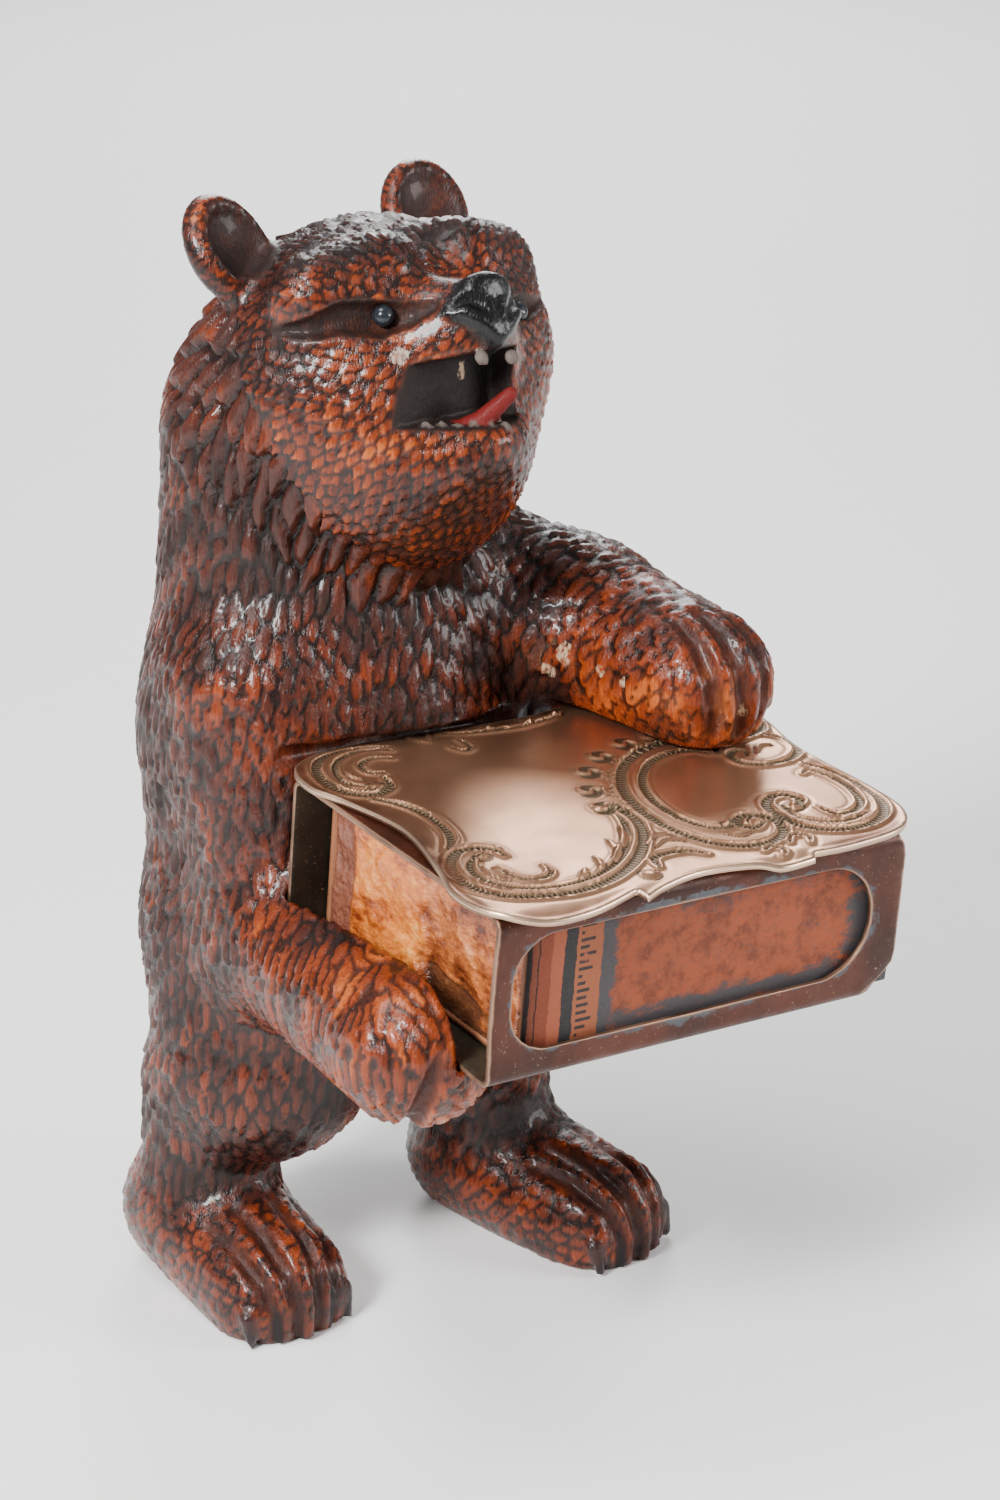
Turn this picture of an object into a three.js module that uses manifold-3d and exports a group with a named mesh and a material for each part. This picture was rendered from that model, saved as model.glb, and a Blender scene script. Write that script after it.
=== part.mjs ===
// A standing bear carved from one piece of wood. Its right hand and left paw hold a
// sheet-metal match holder with an embossed top plate and a small matchbox in it.
// Millimetres, +Z up. The bear faces -Y and its left side is +X.
import * as THREE from "three";
import { ConvexGeometry } from "three/addons/geometries/ConvexGeometry.js";
import { triTable } from "three/addons/objects/MarchingCubes.js";
import { mergeVertices } from "three/addons/utils/BufferGeometryUtils.js";
import Module from "manifold-3d";

// Driving dimensions of the bear, whose pose and masses are shares of its height
const bearHeight = 132;
const eyeRadius = 1.25;
const eyeSink = 0.9;
const toeGrooveWidth = 1.9;
const toeGrooveDepth = 1.5;
const slitWidth = 3.4;
const slitDepth = 2.2;
const bodyGrid = 4.5;
const headFineness = 0.43;

// Driving dimensions of the matchbox
const matchboxLength = 49;
const matchboxWidth = 38.6;
const matchboxHeight = 17.3;
const cardThickness = 0.7;
const trayPlay = 0.3;
const trayHeadroom = 0.6;

// Driving dimensions of the match holder: a bent sheet tube, open at both ends
const sheetThickness = 0.6;
const boxPlay = 0.5;
const sleeveLength = 54;
const sleeveBend = 1.4;
const matchboxInset = 4.6;
const windowHeight = 13.4;
const windowStart = 2.3;
const windowEnd = 4.5;
const windowRise = 3.5;
const windowCorner = 5.2;
const sleeveYaw = -6.3;
const sleeveTilt = 2.95;
const sleeveLean = 2.88;

// Driving dimensions of the embossed plate on top of the holder
const plateLength = 60;
const plateDepth = 48.7;
const plateThickness = 0.6;
const ribHeight = 0.5;
const ribStep = 2.9;
const ribRoot = 0.15;

// Pieces that touch keep this gap
const touchGap = 0.3;

// Sizes that follow from the ones above
const sleeveDepth = matchboxWidth + 2 * (boxPlay + sheetThickness);
const sleeveHeight = matchboxHeight + 2 * (boxPlay + sheetThickness);
const windowLength = sleeveLength - windowStart - windowEnd;
const share = bearHeight / 1000;

const wasm = await Module();
wasm.setup();

// A place on the bear, in thousandths of its height
function at(x, y, z) {
  return new THREE.Vector3(x, y, z).multiplyScalar(share);
}

function degrees(angle) {
  return THREE.MathUtils.degToRad(angle);
}

// A turn by yaw to the left, then pitch that raises the nose, then roll
function turned(yaw, pitch, roll) {
  const euler = new THREE.Euler(-degrees(pitch), degrees(roll), degrees(yaw), "ZXY");
  return new THREE.Quaternion().setFromEuler(euler);
}

// The holder's own frame: its origin is its lower front corner on the bear's right,
// x runs along it, y towards the bear and z up. It stands on the belly's front.
const holderTurn = turned(sleeveYaw, -sleeveTilt, sleeveLean);
const holderSeat = at(43, -149, 382);
const holderOrigin = new THREE.Vector3(-sleeveLength / 2, -sleeveDepth, 0)
  .applyQuaternion(holderTurn)
  .add(holderSeat);

function onHolder(x, y, z) {
  return new THREE.Vector3(x, y, z).applyQuaternion(holderTurn).add(holderOrigin);
}

// Fields: each returns the distance of a point from a mass, below zero inside it

function limb(from, to, fromRadius, toRadius) {
  const axis = to.clone().sub(from);
  const length2 = axis.lengthSq();
  const near = new THREE.Vector3();
  return (p) => {
    const t = THREE.MathUtils.clamp(near.copy(p).sub(from).dot(axis) / length2, 0, 1);
    near.copy(axis).multiplyScalar(t).add(from);
    return near.distanceTo(p) - THREE.MathUtils.lerp(fromRadius, toRadius, t) * share;
  };
}

function ball(centre, radii, turn = new THREE.Quaternion()) {
  const back = turn.clone().invert();
  const size = radii.clone().multiplyScalar(share);
  const q = new THREE.Vector3();
  return (p) => {
    q.copy(p).sub(centre).applyQuaternion(back).divide(size);
    const near = q.length();
    return (near * (near - 1)) / (q.divide(size).length() + 1e-9);
  };
}

// A limb pressed flat from front to back about the line x, y
function pressedLimb(x, y, flatness, from, to, fromRadius, toRadius) {
  const round = limb(from, to, fromRadius, toRadius);
  const q = new THREE.Vector3();
  return (p) => round(q.set(p.x - x * share, (p.y - y * share) * flatness, p.z));
}

function smooth(a, b, softness) {
  const h = THREE.MathUtils.clamp(0.5 + (0.5 * (b - a)) / (softness * share), 0, 1);
  return THREE.MathUtils.lerp(b, a, h) - softness * share * h * (1 - h);
}

function joined(masses, softness) {
  return (p) => masses.reduce((d, mass) => smooth(mass(p), d, softness), 1e3);
}

function hollowed(mass, hollow, softness) {
  return (p) => -smooth(-mass(p), hollow(p), softness);
}

// The head, in its own frame: x to its left, y forward to the nose, z up
const headCentre = at(14, -45, 835);
const headTurn = turned(6, 33, 4);

function onHead(x, y, z) {
  return at(x, -y, z).applyQuaternion(headTurn).add(headCentre);
}

const sides = [-1, 1];
const vector = (x, y, z) => new THREE.Vector3(x, y, z);

const skull = joined(
  [
    ball(onHead(0, -8, 0), vector(148, 133, 137), headTurn),
    ball(onHead(-9, 4, -68), vector(102, 110, 106), headTurn),
    ball(onHead(61, 30, 4), vector(77, 80, 76), headTurn),
  ],
  38,
);
const brows = sides.map((s) =>
  limb(onHead(46 * s, 92, 61), onHead(102 * s, 68, 58), 32, 33),
);
const muzzle = limb(onHead(-4, 68, -15), onHead(-7, 112, -8), 62, 49);
const chin = ball(onHead(-12, 66, -106), vector(50, 62, 32), headTurn);
const furrow = limb(onHead(2, 132, 56), onHead(6, 88, 128), 16, 22);
const face = hollowed(
  joined([skull, joined([...brows, muzzle, chin], 23)], 28),
  furrow,
  24,
);
const earTurn = (s) => headTurn.clone().multiply(turned(-6 * s, 0, 14 * s));
const earCentre = (s) => onHead(112 * s + 5, -6, 129 + 2 * s);
const earSize = vector(43, 22, 51);
const earHollow = vector(35, 17, 42);
const earHollowPlace = (s) => at(-2 * s, -20, 4).applyQuaternion(earTurn(s)).add(earCentre(s));

// Arms: the left paw lies on the plate and the right hand is under the holder
const leftPaw = onHolder(0.87 * sleeveLength, 0.755 * sleeveDepth, sleeveHeight + 7.4);
const rightHand = onHolder(0, 0.34 * sleeveDepth, -0.8);
const leftElbow = at(189, -102, 583);
const rightElbow = at(-106, -72, 364);
const leftArm = joined(
  [limb(at(121, -15, 610), leftElbow, 87, 73), limb(leftElbow, leftPaw, 73, 64)],
  30,
);
const rightArm = joined(
  [limb(at(-102, -27, 576), rightElbow, 80, 76), limb(rightElbow, rightHand, 76, 67)],
  30,
);

const torso = joined(
  [
    pressedLimb(15, 23, 1.18, at(0, 0, 348), at(0, 0, 500), 180, 179),
    pressedLimb(15, 23, 1.18, at(0, -8, 530), at(-21, 0, 773), 176, 138),
    ball(at(23, -38, 432), vector(136, 117, 121)),
  ],
  45,
);

// Legs and feet, from the hip down to the toes
const rightToes = at(-138, -72, 27);
const leftToes = at(168, -155, 27);
const rightHeel = at(-124, 64, 53);
const leftHeel = at(141, -15, 53);
const rightLeg = joined(
  [
    limb(at(-64, 11, 318), at(-91, 0, 220), 117, 101),
    limb(at(-117, 34, 182), at(-129, 42, 68), 68, 58),
    limb(rightHeel, rightToes, 67, 64),
  ],
  23,
);
const leftLeg = joined(
  [
    limb(at(91, -4, 303), at(121, -23, 205), 106, 83),
    limb(at(129, -27, 182), at(141, -34, 68), 68, 59),
    limb(leftHeel, leftToes, 65, 64),
  ],
  23,
);

const body = joined([torso, (p) => Math.min(leftLeg(p), rightLeg(p))], 38);
const bear = joined(
  [body, leftArm, rightArm, face],
  32,
);

const gradientStep = 0.05;

// The outward normal of a field at a point
function normalOf(field, point) {
  const slope = (axis) => {
    const step = new THREE.Vector3().setComponent(axis, gradientStep);
    return field(point.clone().add(step)) - field(point.clone().sub(step));
  };
  return new THREE.Vector3(slope(0), slope(1), slope(2)).normalize();
}

// Moves a point along the normal until it lies on the field's surface
function ontoSurface(field, point) {
  for (let round = 0; round < 4; round++) {
    point.addScaledVector(normalOf(field, point), -field(point));
  }
  return point;
}

// The grid is finer around the head: this maps a grid place to its real place
const fineRadius = 26;

function realPlace(gridPlace) {
  const away = gridPlace.clone().sub(headCentre);
  const reach = away.length() / fineRadius + 1e-9;
  return away.multiplyScalar(1 - (headFineness * Math.tanh(reach)) / reach).add(headCentre);
}

// Corners of a grid cell, and the pairs of corners that its twelve edges join,
// in the order of the cases in triTable
const cellCorners = [
  [0, 0, 0],
  [1, 0, 0],
  [1, 1, 0],
  [0, 1, 0],
  [0, 0, 1],
  [1, 0, 1],
  [1, 1, 1],
  [0, 1, 1],
];
const cellEdges = [
  [0, 1],
  [1, 2],
  [2, 3],
  [3, 0],
  [4, 5],
  [5, 6],
  [6, 7],
  [7, 4],
  [0, 4],
  [1, 5],
  [2, 6],
  [3, 7],
];
// For a crossed grid edge along x, y or z: the four cells around it and its edge there
const cellsAround = [
  [
    [0, -1, -1, 6],
    [0, 0, -1, 4],
    [0, 0, 0, 0],
    [0, -1, 0, 2],
  ],
  [
    [-1, 0, 0, 1],
    [0, 0, 0, 3],
    [0, 0, -1, 7],
    [-1, 0, -1, 5],
  ],
  [
    [-1, -1, 0, 10],
    [0, -1, 0, 11],
    [0, 0, 0, 8],
    [-1, 0, 0, 9],
  ],
];

// Groups a cell's crossed edges into the separate sheets that pass through it
function edgeSheets(cellCase) {
  const sheetOfEdge = new Map();
  for (let t = cellCase * 16; triTable[t] !== -1; t += 3) {
    const edges = [triTable[t], triTable[t + 1], triTable[t + 2]];
    const known = edges.filter((e) => sheetOfEdge.has(e)).map((e) => sheetOfEdge.get(e));
    const sheet = new Set([...edges, ...known.flatMap((set) => [...set])]);
    sheet.forEach((e) => sheetOfEdge.set(e, sheet));
  }
  return [...new Set(sheetOfEdge.values())];
}

const sheetsOf = Array.from({ length: 256 }, (_, cellCase) => edgeSheets(cellCase));

// A closed mesh of the field's surface: one corner for each sheet in each grid cell
function surfaceMesh(field, low, high, step) {
  const count = high.clone().sub(low).divideScalar(step).ceil().addScalar(1);
  const node = (i, j, k) => i + count.x * (j + count.y * k);
  const gridPlace = (i, j, k) => vector(i, j, k).multiplyScalar(step).add(low);
  const values = new Float32Array(count.x * count.y * count.z);
  for (let k = 0; k < count.z; k++) {
    for (let j = 0; j < count.y; j++) {
      for (let i = 0; i < count.x; i++) {
        values[node(i, j, k)] = field(realPlace(gridPlace(i, j, k)));
      }
    }
  }
  const corners = [];
  const cornerOfEdge = new Map();
  for (let k = 0; k < count.z - 1; k++) {
    for (let j = 0; j < count.y - 1; j++) {
      for (let i = 0; i < count.x - 1; i++) {
        const inside = cellCorners.map(([a, b, c]) => values[node(i + a, j + b, k + c)]);
        const cellCase = inside.reduce((bits, v, n) => bits + (v < 0 ? 1 << n : 0), 0);
        for (const sheet of sheetsOf[cellCase]) {
          const middle = vector(0, 0, 0);
          for (const edge of sheet) {
            const [a, b] = cellEdges[edge];
            const crossing = inside[a] / (inside[a] - inside[b]);
            const start = vector(...cellCorners[a]);
            middle.add(start.lerp(vector(...cellCorners[b]), crossing));
            cornerOfEdge.set(node(i, j, k) * 12 + edge, corners.length);
          }
          middle.multiplyScalar(step / sheet.size);
          corners.push(realPlace(middle.add(gridPlace(i, j, k))));
        }
      }
    }
  }
  const faces = [];
  for (let k = 1; k < count.z - 1; k++) {
    for (let j = 1; j < count.y - 1; j++) {
      for (let i = 1; i < count.x - 1; i++) {
        const here = values[node(i, j, k)] < 0;
        const next = [node(i + 1, j, k), node(i, j + 1, k), node(i, j, k + 1)];
        next.forEach((other, axis) => {
          if (here === values[other] < 0) return;
          const quad = cellsAround[axis].map(([a, b, c, edge]) =>
            cornerOfEdge.get(node(i + a, j + b, k + c) * 12 + edge),
          );
          faces.push(here ? quad : quad.reverse());
        });
      }
    }
  }
  corners.forEach((corner) => ontoSurface(field, corner));
  return { corners, faces };
}

// Four-cornered faces as triangles, each split along its shorter diagonal
function geometryOf({ corners, faces }) {
  const index = faces.flatMap(([a, b, c, d]) =>
    corners[a].distanceTo(corners[c]) < corners[b].distanceTo(corners[d])
      ? [a, b, c, a, c, d]
      : [b, c, d, b, d, a],
  );
  return new THREE.BufferGeometry().setFromPoints(corners).setIndex(index);
}

// The direction in which the fur lies: down the body, along the limbs, and from
// the nose back over the face
const limbRuns = [
  [leftArm, leftPaw.clone().sub(leftElbow).normalize()],
  [rightArm, rightHand.clone().sub(rightElbow).normalize()],
];
const noseTip = onHead(0, 150, 1);

function furRun(point) {
  const onBody = body(point);
  if (face(point) < onBody) return point.clone().sub(noseTip).normalize();
  const run = limbRuns.find(([arm]) => arm(point) < onBody);
  return run ? run[1].clone() : vector(0, 0, -1);
}

// Fur locks: their centres are spread over the mesh, longer than wide along the run.
// A lock stands proud near its lower end and drops into a groove at its border.
const lockLength = 13.5;
const lockWidth = 7.6;
const lockHeight = 1.1;
const faceLockShare = 0.45;
const ruffShare = 1.7;
const lockSpacing = 0.82;

function carveFur(corners) {
  const points = corners.map((corner) => {
    const normal = normalOf(bear, corner);
    const run = furRun(corner);
    run.addScaledVector(normal, -run.dot(normal)).normalize();
    const size = face(corner) < body(corner) ? faceLockShare : 1;
    return { corner, normal, run, size, across: run.clone().cross(normal) };
  });
  const away = vector(0, 0, 0);
  const lockDistance = (from, to) => {
    away.copy(to.corner).sub(from.corner).divideScalar(from.size);
    const through = away.dot(from.normal) / lockWidth;
    return Math.hypot(away.dot(from.run) / lockLength, away.dot(from.across) / lockWidth, through);
  };
  const locks = [];
  for (const point of points) {
    const alone = locks.every((lock) => lockDistance(lock, point) > lockSpacing);
    if (alone) locks.push(point);
  }
  return points.map((point) => {
    const distances = locks.map((lock) => lockDistance(lock, point)).sort((a, b) => a - b);
    const crest = THREE.MathUtils.smoothstep(distances[1] - distances[0], 0.05, 0.6);
    const height = lockHeight * point.size * (crest - 0.5) * furDepth(point.corner);
    return point.corner.clone().addScaledVector(point.normal, height);
  });
}

// The muzzle stays smooth, and the ruff between face and neck is deepest
function furDepth(point) {
  const ruff = 1 - THREE.MathUtils.smoothstep(Math.abs(face(point) - torso(point)), 2, 6);
  const clear = THREE.MathUtils.smoothstep(muzzle(point), 0.5, 3);
  return clear * THREE.MathUtils.lerp(1, ruffShare, ruff);
}

// Closed solids for cutting and joining

function solidOf(geometry) {
  const bare = geometry.clone();
  bare.deleteAttribute("normal");
  bare.deleteAttribute("uv");
  const merged = mergeVertices(bare.index ? bare : mergeVertices(bare), 1e-4);
  return new wasm.Manifold(
    new wasm.Mesh({
      numProp: 3,
      vertProperties: new Float32Array(merged.attributes.position.array),
      triVerts: new Uint32Array(merged.index.array),
    }),
  );
}

function geometryOfSolid(solid) {
  const mesh = solid.getMesh();
  const places = new THREE.BufferAttribute(new Float32Array(mesh.vertProperties), 3);
  const geometry = new THREE.BufferGeometry().setAttribute("position", places);
  geometry.setIndex([...mesh.triVerts]);
  geometry.computeVertexNormals();
  return geometry;
}

function placed(geometry, position, turn = new THREE.Quaternion()) {
  return solidOf(geometry.applyQuaternion(turn).translate(...position.toArray()));
}

// A block between two corners
function block(low, high) {
  const size = high.clone().sub(low);
  const middle = low.clone().add(high).multiplyScalar(0.5);
  return new THREE.BoxGeometry(...size.toArray()).translate(...middle.toArray());
}

// A bar with three sides along a line of places. At each place it has a flat base,
// half its width to either side, and an edge; both have a height along up.
function ridge(stations) {
  const corners = stations.flatMap(({ place, up, side, half, base, edge }) => [
    place.clone().addScaledVector(side, half).addScaledVector(up, base),
    place.clone().addScaledVector(side, -half).addScaledVector(up, base),
    place.clone().addScaledVector(up, edge),
  ]);
  const index = [0, 1, 2];
  for (let n = 0; n < stations.length - 1; n++) {
    for (let edge = 0; edge < 3; edge++) {
      const a = n * 3 + edge;
      const b = n * 3 + ((edge + 1) % 3);
      index.push(a, b + 3, b, a, a + 3, b + 3);
    }
  }
  const last = (stations.length - 1) * 3;
  index.push(last, last + 2, last + 1);
  return solidOf(new THREE.BufferGeometry().setFromPoints(corners).setIndex(index));
}

// Grooves and ribs narrow to this share at their ends
const endTaper = 0.45;

// A V-shaped groove cut into the bear's surface along a few places near it
function groove(places, width, depth) {
  const line = places.map((place) => ontoSurface(bear, place));
  return ridge(
    line.map((place, n) => {
      const up = normalOf(bear, place);
      const ahead = line[Math.min(n + 1, line.length - 1)];
      const behind = line[Math.max(n - 1, 0)];
      const side = ahead.clone().sub(behind).cross(up).normalize();
      const taper = n === 0 ? endTaper : 1;
      return { place, up, side, half: width * taper, base: depth, edge: -depth * taper };
    }),
  );
}

// Grooves between the toes run over the top of a foot and down its front
function toeGrooves(heel, toes, offsets) {
  const ahead = toes.clone().sub(heel).setZ(0).normalize();
  const side = vector(-ahead.y, ahead.x, 0);
  return offsets.map((offset) => {
    const place = (spread, forward, up) =>
      toes
        .clone()
        .addScaledVector(side, offset * spread * share)
        .addScaledVector(ahead, forward * share)
        .setZ(up * share);
    const places = [
      place(1.08, -40, 86),
      place(1.08, 4, 84),
      place(1, 44, 62),
      place(0.94, 63, 30),
      place(0.92, 66, -10),
    ];
    return groove(places, toeGrooveWidth / 2, toeGrooveDepth);
  });
}

const toeOffsets = [-40, -14, 12, 37];
const pawOffsets = [-34, -6, 22];
const pawRun = leftPaw.clone().sub(leftElbow).setZ(0).normalize();
const pawSide = vector(-pawRun.y, pawRun.x, 0);

function pawGroove(offset) {
  const place = (spread, forward, up) =>
    leftPaw
      .clone()
      .addScaledVector(pawSide, offset * spread * share)
      .addScaledVector(pawRun, forward * share)
      .add(vector(0, 0, up * share));
  const places = [
    place(0.8, 0, 62),
    place(0.95, 28, 52),
    place(1.05, 52, 24),
    place(1.05, 60, -6),
    place(1.05, 56, -34),
  ];
  return groove(places, toeGrooveWidth / 2, toeGrooveDepth);
}

// The split between the thumb and the hand under the holder's front corner
function thumbGroove() {
  const places = [at(-22, -59, 16), at(-32, -58, -10), at(-30, -36, -45), at(-15, 0, -64)];
  places.forEach((place) => place.add(rightHand));
  return groove(places, toeGrooveWidth / 2, toeGrooveDepth);
}

// The open mouth, with a tongue and two rows of small teeth

function roundedRectangle(width, height, corner) {
  const outline = new THREE.Shape();
  const x = width / 2;
  const y = height / 2;
  outline.moveTo(x - corner, -y);
  outline.absarc(x - corner, -y + corner, corner, -Math.PI / 2, 0);
  outline.absarc(x - corner, y - corner, corner, 0, Math.PI / 2);
  outline.absarc(-x + corner, y - corner, corner, Math.PI / 2, Math.PI);
  outline.absarc(-x + corner, -y + corner, corner, Math.PI, 1.5 * Math.PI);
  return outline;
}

function extruded(outline, depth, curveSegments) {
  return new THREE.ExtrudeGeometry(outline, { depth, curveSegments, bevelEnabled: false });
}

// The mouth is a wedge between the lips, open at the front and at the bear's right
// cheek. All places are in the head's frame.
const mouthRight = -150;
const mouthLeft = 22;
const mouthFront = 210;
const upperLip = (forward) => -27 - 0.27 * (forward - 114);
const lowerLip = (forward) => -73 - 0.62 * (forward - 92);
const upperCorner = 111;
const lowerCorner = 88;

function mouthHollow() {
  const corners = [mouthRight, mouthLeft].flatMap((x) => [
    onHead(x, upperCorner, upperLip(upperCorner)),
    onHead(x, lowerCorner, lowerLip(lowerCorner)),
    onHead(x, mouthFront, upperLip(mouthFront)),
    onHead(x, mouthFront, lowerLip(mouthFront)),
  ]);
  return solidOf(new ConvexGeometry(corners));
}

const tongueRadius = 10;

function tongue() {
  const root = onHead(-34, 84, -84);
  const tip = onHead(2, 138, -73);
  const along = tip.clone().sub(root);
  const lump = new THREE.CapsuleGeometry(tongueRadius * share, along.length(), 3, 8);
  const middle = root.add(tip).multiplyScalar(0.5);
  const facing = new THREE.Quaternion().setFromUnitVectors(vector(0, 1, 0), along.normalize());
  return placed(lump, middle, facing);
}

// Two teeth stand in the upper lip and a row of smaller ones in the lower lip
const upperToothSize = vector(8, 6, 8);
const upperToothPlaces = [onHead(-26, 150, -39), onHead(2, 154, -42)];
const lowerToothSize = vector(5, 5, 9);
const lowerToothCount = 6;
const lowerToothPlace = (n) => onHead(-58 + 11 * n, 94 + 6 * n, -77 - 4 * n);

function teeth() {
  const tooth = (size, place) => egg(size, headTurn, place, 5, 4);
  const upper = upperToothPlaces.map((place) => tooth(upperToothSize, place));
  const lower = Array.from({ length: lowerToothCount }, (_, n) =>
    tooth(lowerToothSize, lowerToothPlace(n)),
  );
  return [...upper, ...lower];
}

function egg(size, turn, place, around, upward) {
  const round = new THREE.SphereGeometry(share, around, upward);
  return placed(round.scale(...size.toArray()), place, turn);
}

function bead(radius, place) {
  return placed(new THREE.SphereGeometry(radius, 9, 6), place);
}

// The face leans over to the bear's left, so its left eye lies lower and nearer the nose
function eyePlace(side) {
  const near = side < 0 ? onHead(-74, 112, 20) : onHead(64, 112, 0);
  const place = ontoSurface(bear, near);
  return place.addScaledVector(normalOf(bear, place), -eyeSink);
}

// The long slit in which an eye lies, from beside the muzzle out to the temple
const slitPlaces = {
  right: [
    [-129, 45, 39],
    [-118, 70, 32],
    [-102, 92, 27],
    [-78, 109, 17],
    [-58, 120, 14],
    [-38, 130, 9],
  ],
  left: [
    [38, 128, -2],
    [64, 112, 2],
    [78, 102, 4],
    [102, 80, 9],
  ],
};

function eyeSlit(side) {
  const places = side < 0 ? slitPlaces.right : slitPlaces.left;
  const line = places.map((place) => onHead(...place));
  return groove(line, slitWidth / 2, slitDepth);
}

// The nose pad, a heart with its point down, in the muzzle's own leaning frame. It has
// two nostrils and a groove down its middle.
const muzzleTurn = headTurn.clone().multiply(turned(0, 4, 10));
const onMuzzle = (x, y, z) => at(x, -y, z).applyQuaternion(muzzleTurn).add(onHead(-6, 120, -8));
// Places on half of its front: x to a side, z up and then y forward
const padOutline = [
  [22, 34, 37],
  [42, 5, 32],
  [22, -22, 40],
  [0, -42, 42],
];
const padBulge = [
  [13, 24, 49],
  [14, -4, 49],
];
const nostrilSize = vector(14, 9, 5);
const nostrilTurn = (s) => muzzleTurn.clone().multiply(turned(-22 * s, 0, 28 * s));
const padSplit = [
  [51, 12],
  [53, -14],
  [45, -44],
];
const padSplitWidth = 10;
const padSplitDepth = 9;

function nose() {
  const front = [...padOutline, ...padBulge].flatMap(([x, z, y]) =>
    sides.map((s) => onMuzzle(x * s, y, z)),
  );
  const back = padOutline.flatMap(([x, z]) => sides.map((s) => onMuzzle(x * s, 0, z)));
  const pad = solidOf(new ConvexGeometry([...front, ...back]));
  const nostrils = sides.map((s) => egg(nostrilSize, nostrilTurn(s), onMuzzle(22 * s, 48, 4), 6, 4));
  const stations = padSplit.map(([y, z]) => ({
    place: onMuzzle(0, y, z),
    up: vector(0, -1, 0).applyQuaternion(muzzleTurn),
    side: vector(-1, 0, 0).applyQuaternion(muzzleTurn),
    half: (padSplitWidth * share) / 2,
    base: 0,
    edge: -padSplitDepth * share,
  }));
  return [...nostrils, ridge(stations)].reduce((left, hole) => left.subtract(hole), pad);
}

// Corners of a space that holds the whole bear
const figureLow = at(-300, -460, -40);
const figureHigh = at(340, 260, 1060);

function makeBear() {
  const margin = headFineness * fineRadius + 2 * bodyGrid;
  const low = figureLow.clone().addScalar(-margin);
  const high = figureHigh.clone().addScalar(margin);
  const mesh = surfaceMesh(bear, low, high, bodyGrid);
  const carved = { corners: carveFur(mesh.corners), faces: mesh.faces };
  let solid = solidOf(geometryOf(carved));
  const far = bearHeight * 2;
  const cuts = [
    solidOf(block(vector(-far, -far, -far), vector(far, far, 0))),
    ...toeGrooves(rightHeel, rightToes, toeOffsets),
    ...toeGrooves(leftHeel, leftToes, toeOffsets),
    ...pawOffsets.map(pawGroove),
    thumbGroove(),
    holderSpace(),
    plateSpace(),
    mouthHollow(),
    ...sides.map(eyeSlit),
    ...sides.map((s) => bead(eyeRadius + touchGap, eyePlace(s))),
  ];
  const ears = sides.map((s) =>
    egg(earSize, earTurn(s), earCentre(s), 10, 7).subtract(
      egg(earHollow, earTurn(s), earHollowPlace(s), 9, 5),
    ),
  );
  solid = cuts.reduce((left, cut) => left.subtract(cut), solid);
  solid = [...ears, nose(), tongue(), ...teeth()].reduce((whole, piece) => whole.add(piece), solid);
  return solid;
}

// The space that the holder and its plate take out of the bear, with the gap
function holderSpace() {
  const gap = vector(touchGap, touchGap, touchGap);
  const low = vector(0, 0, 0).sub(gap);
  const high = vector(sleeveLength, sleeveDepth, sleeveHeight + plateThickness).add(gap);
  return placed(block(low, high), holderOrigin, holderTurn);
}

function plateSpace() {
  const outline = plateOutline(plateLength + 2 * touchGap, plateDepth + 2 * touchGap);
  const slab = extruded(outline, plateThickness + ribHeight + 2 * touchGap, 2);
  slab.translate(0, 0, sleeveHeight);
  return placed(slab, holderOrigin, holderTurn);
}

// The holder's sheet tube: a bent rectangle, run along its length
function sleeve() {
  const section = roundedRectangle(sleeveDepth, sleeveHeight, sleeveBend);
  const inner = roundedRectangle(
    sleeveDepth - 2 * sheetThickness,
    sleeveHeight - 2 * sheetThickness,
    sleeveBend - sheetThickness,
  );
  section.holes.push(inner);
  const tube = extruded(section, sleeveLength, 2);
  const alongX = new THREE.Matrix4().makeBasis(vector(0, 1, 0), vector(0, 0, 1), vector(1, 0, 0));
  tube.applyMatrix4(alongX).translate(0, sleeveDepth / 2, sleeveHeight / 2);
  const cuts = [frontWindow(), bottomWaist(), frontCorner()];
  return cuts.reduce((left, cut) => left.subtract(cut), solidOf(tube));
}

// An outline in the holder's front, given along x and z, cut through the front wall
function throughFront(outline) {
  const cutter = extruded(outline, 3 * sheetThickness, 4);
  return cutter.rotateX(Math.PI / 2).translate(0, 2 * sheetThickness, 0);
}

function frontWindow() {
  const opening = throughFront(roundedRectangle(windowLength, windowHeight, windowCorner));
  opening.translate(windowStart + windowLength / 2, 0, windowRise + windowHeight / 2);
  return solidOf(opening);
}

// The lower corner of the front wall's far end is cut off in a curve
const cornerCut = 3.4;

function frontCorner() {
  const outline = new THREE.Shape();
  const end = sleeveLength;
  outline.moveTo(end - cornerCut, -1);
  outline.lineTo(end - cornerCut, sleeveBend * 0.1);
  outline.quadraticCurveTo(end - 0.2 * cornerCut, 0.25 * cornerCut, end - 0.5, cornerCut * 2.4);
  outline.lineTo(end + 1, cornerCut * 2.4);
  outline.lineTo(end + 1, -1);
  return solidOf(throughFront(outline));
}

// The bottom's open end is cut in a long shallow wave
const waveDepth = 1.7;

function bottomWaist() {
  const outline = new THREE.Shape();
  const near = sleeveBend * 2;
  const far = sleeveDepth - sleeveBend;
  const middle = (near + far) / 2;
  outline.moveTo(-1, near);
  outline.lineTo(0, near);
  outline.quadraticCurveTo(waveDepth * 1.6, (near + middle) / 2, waveDepth * 0.5, middle);
  outline.quadraticCurveTo(waveDepth * -0.2, (middle + far) / 2, 0.02, far);
  outline.lineTo(-1, far);
  const cutter = extruded(outline, 3 * sheetThickness, 4);
  return solidOf(cutter.translate(0, 0, -sheetThickness));
}

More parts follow.
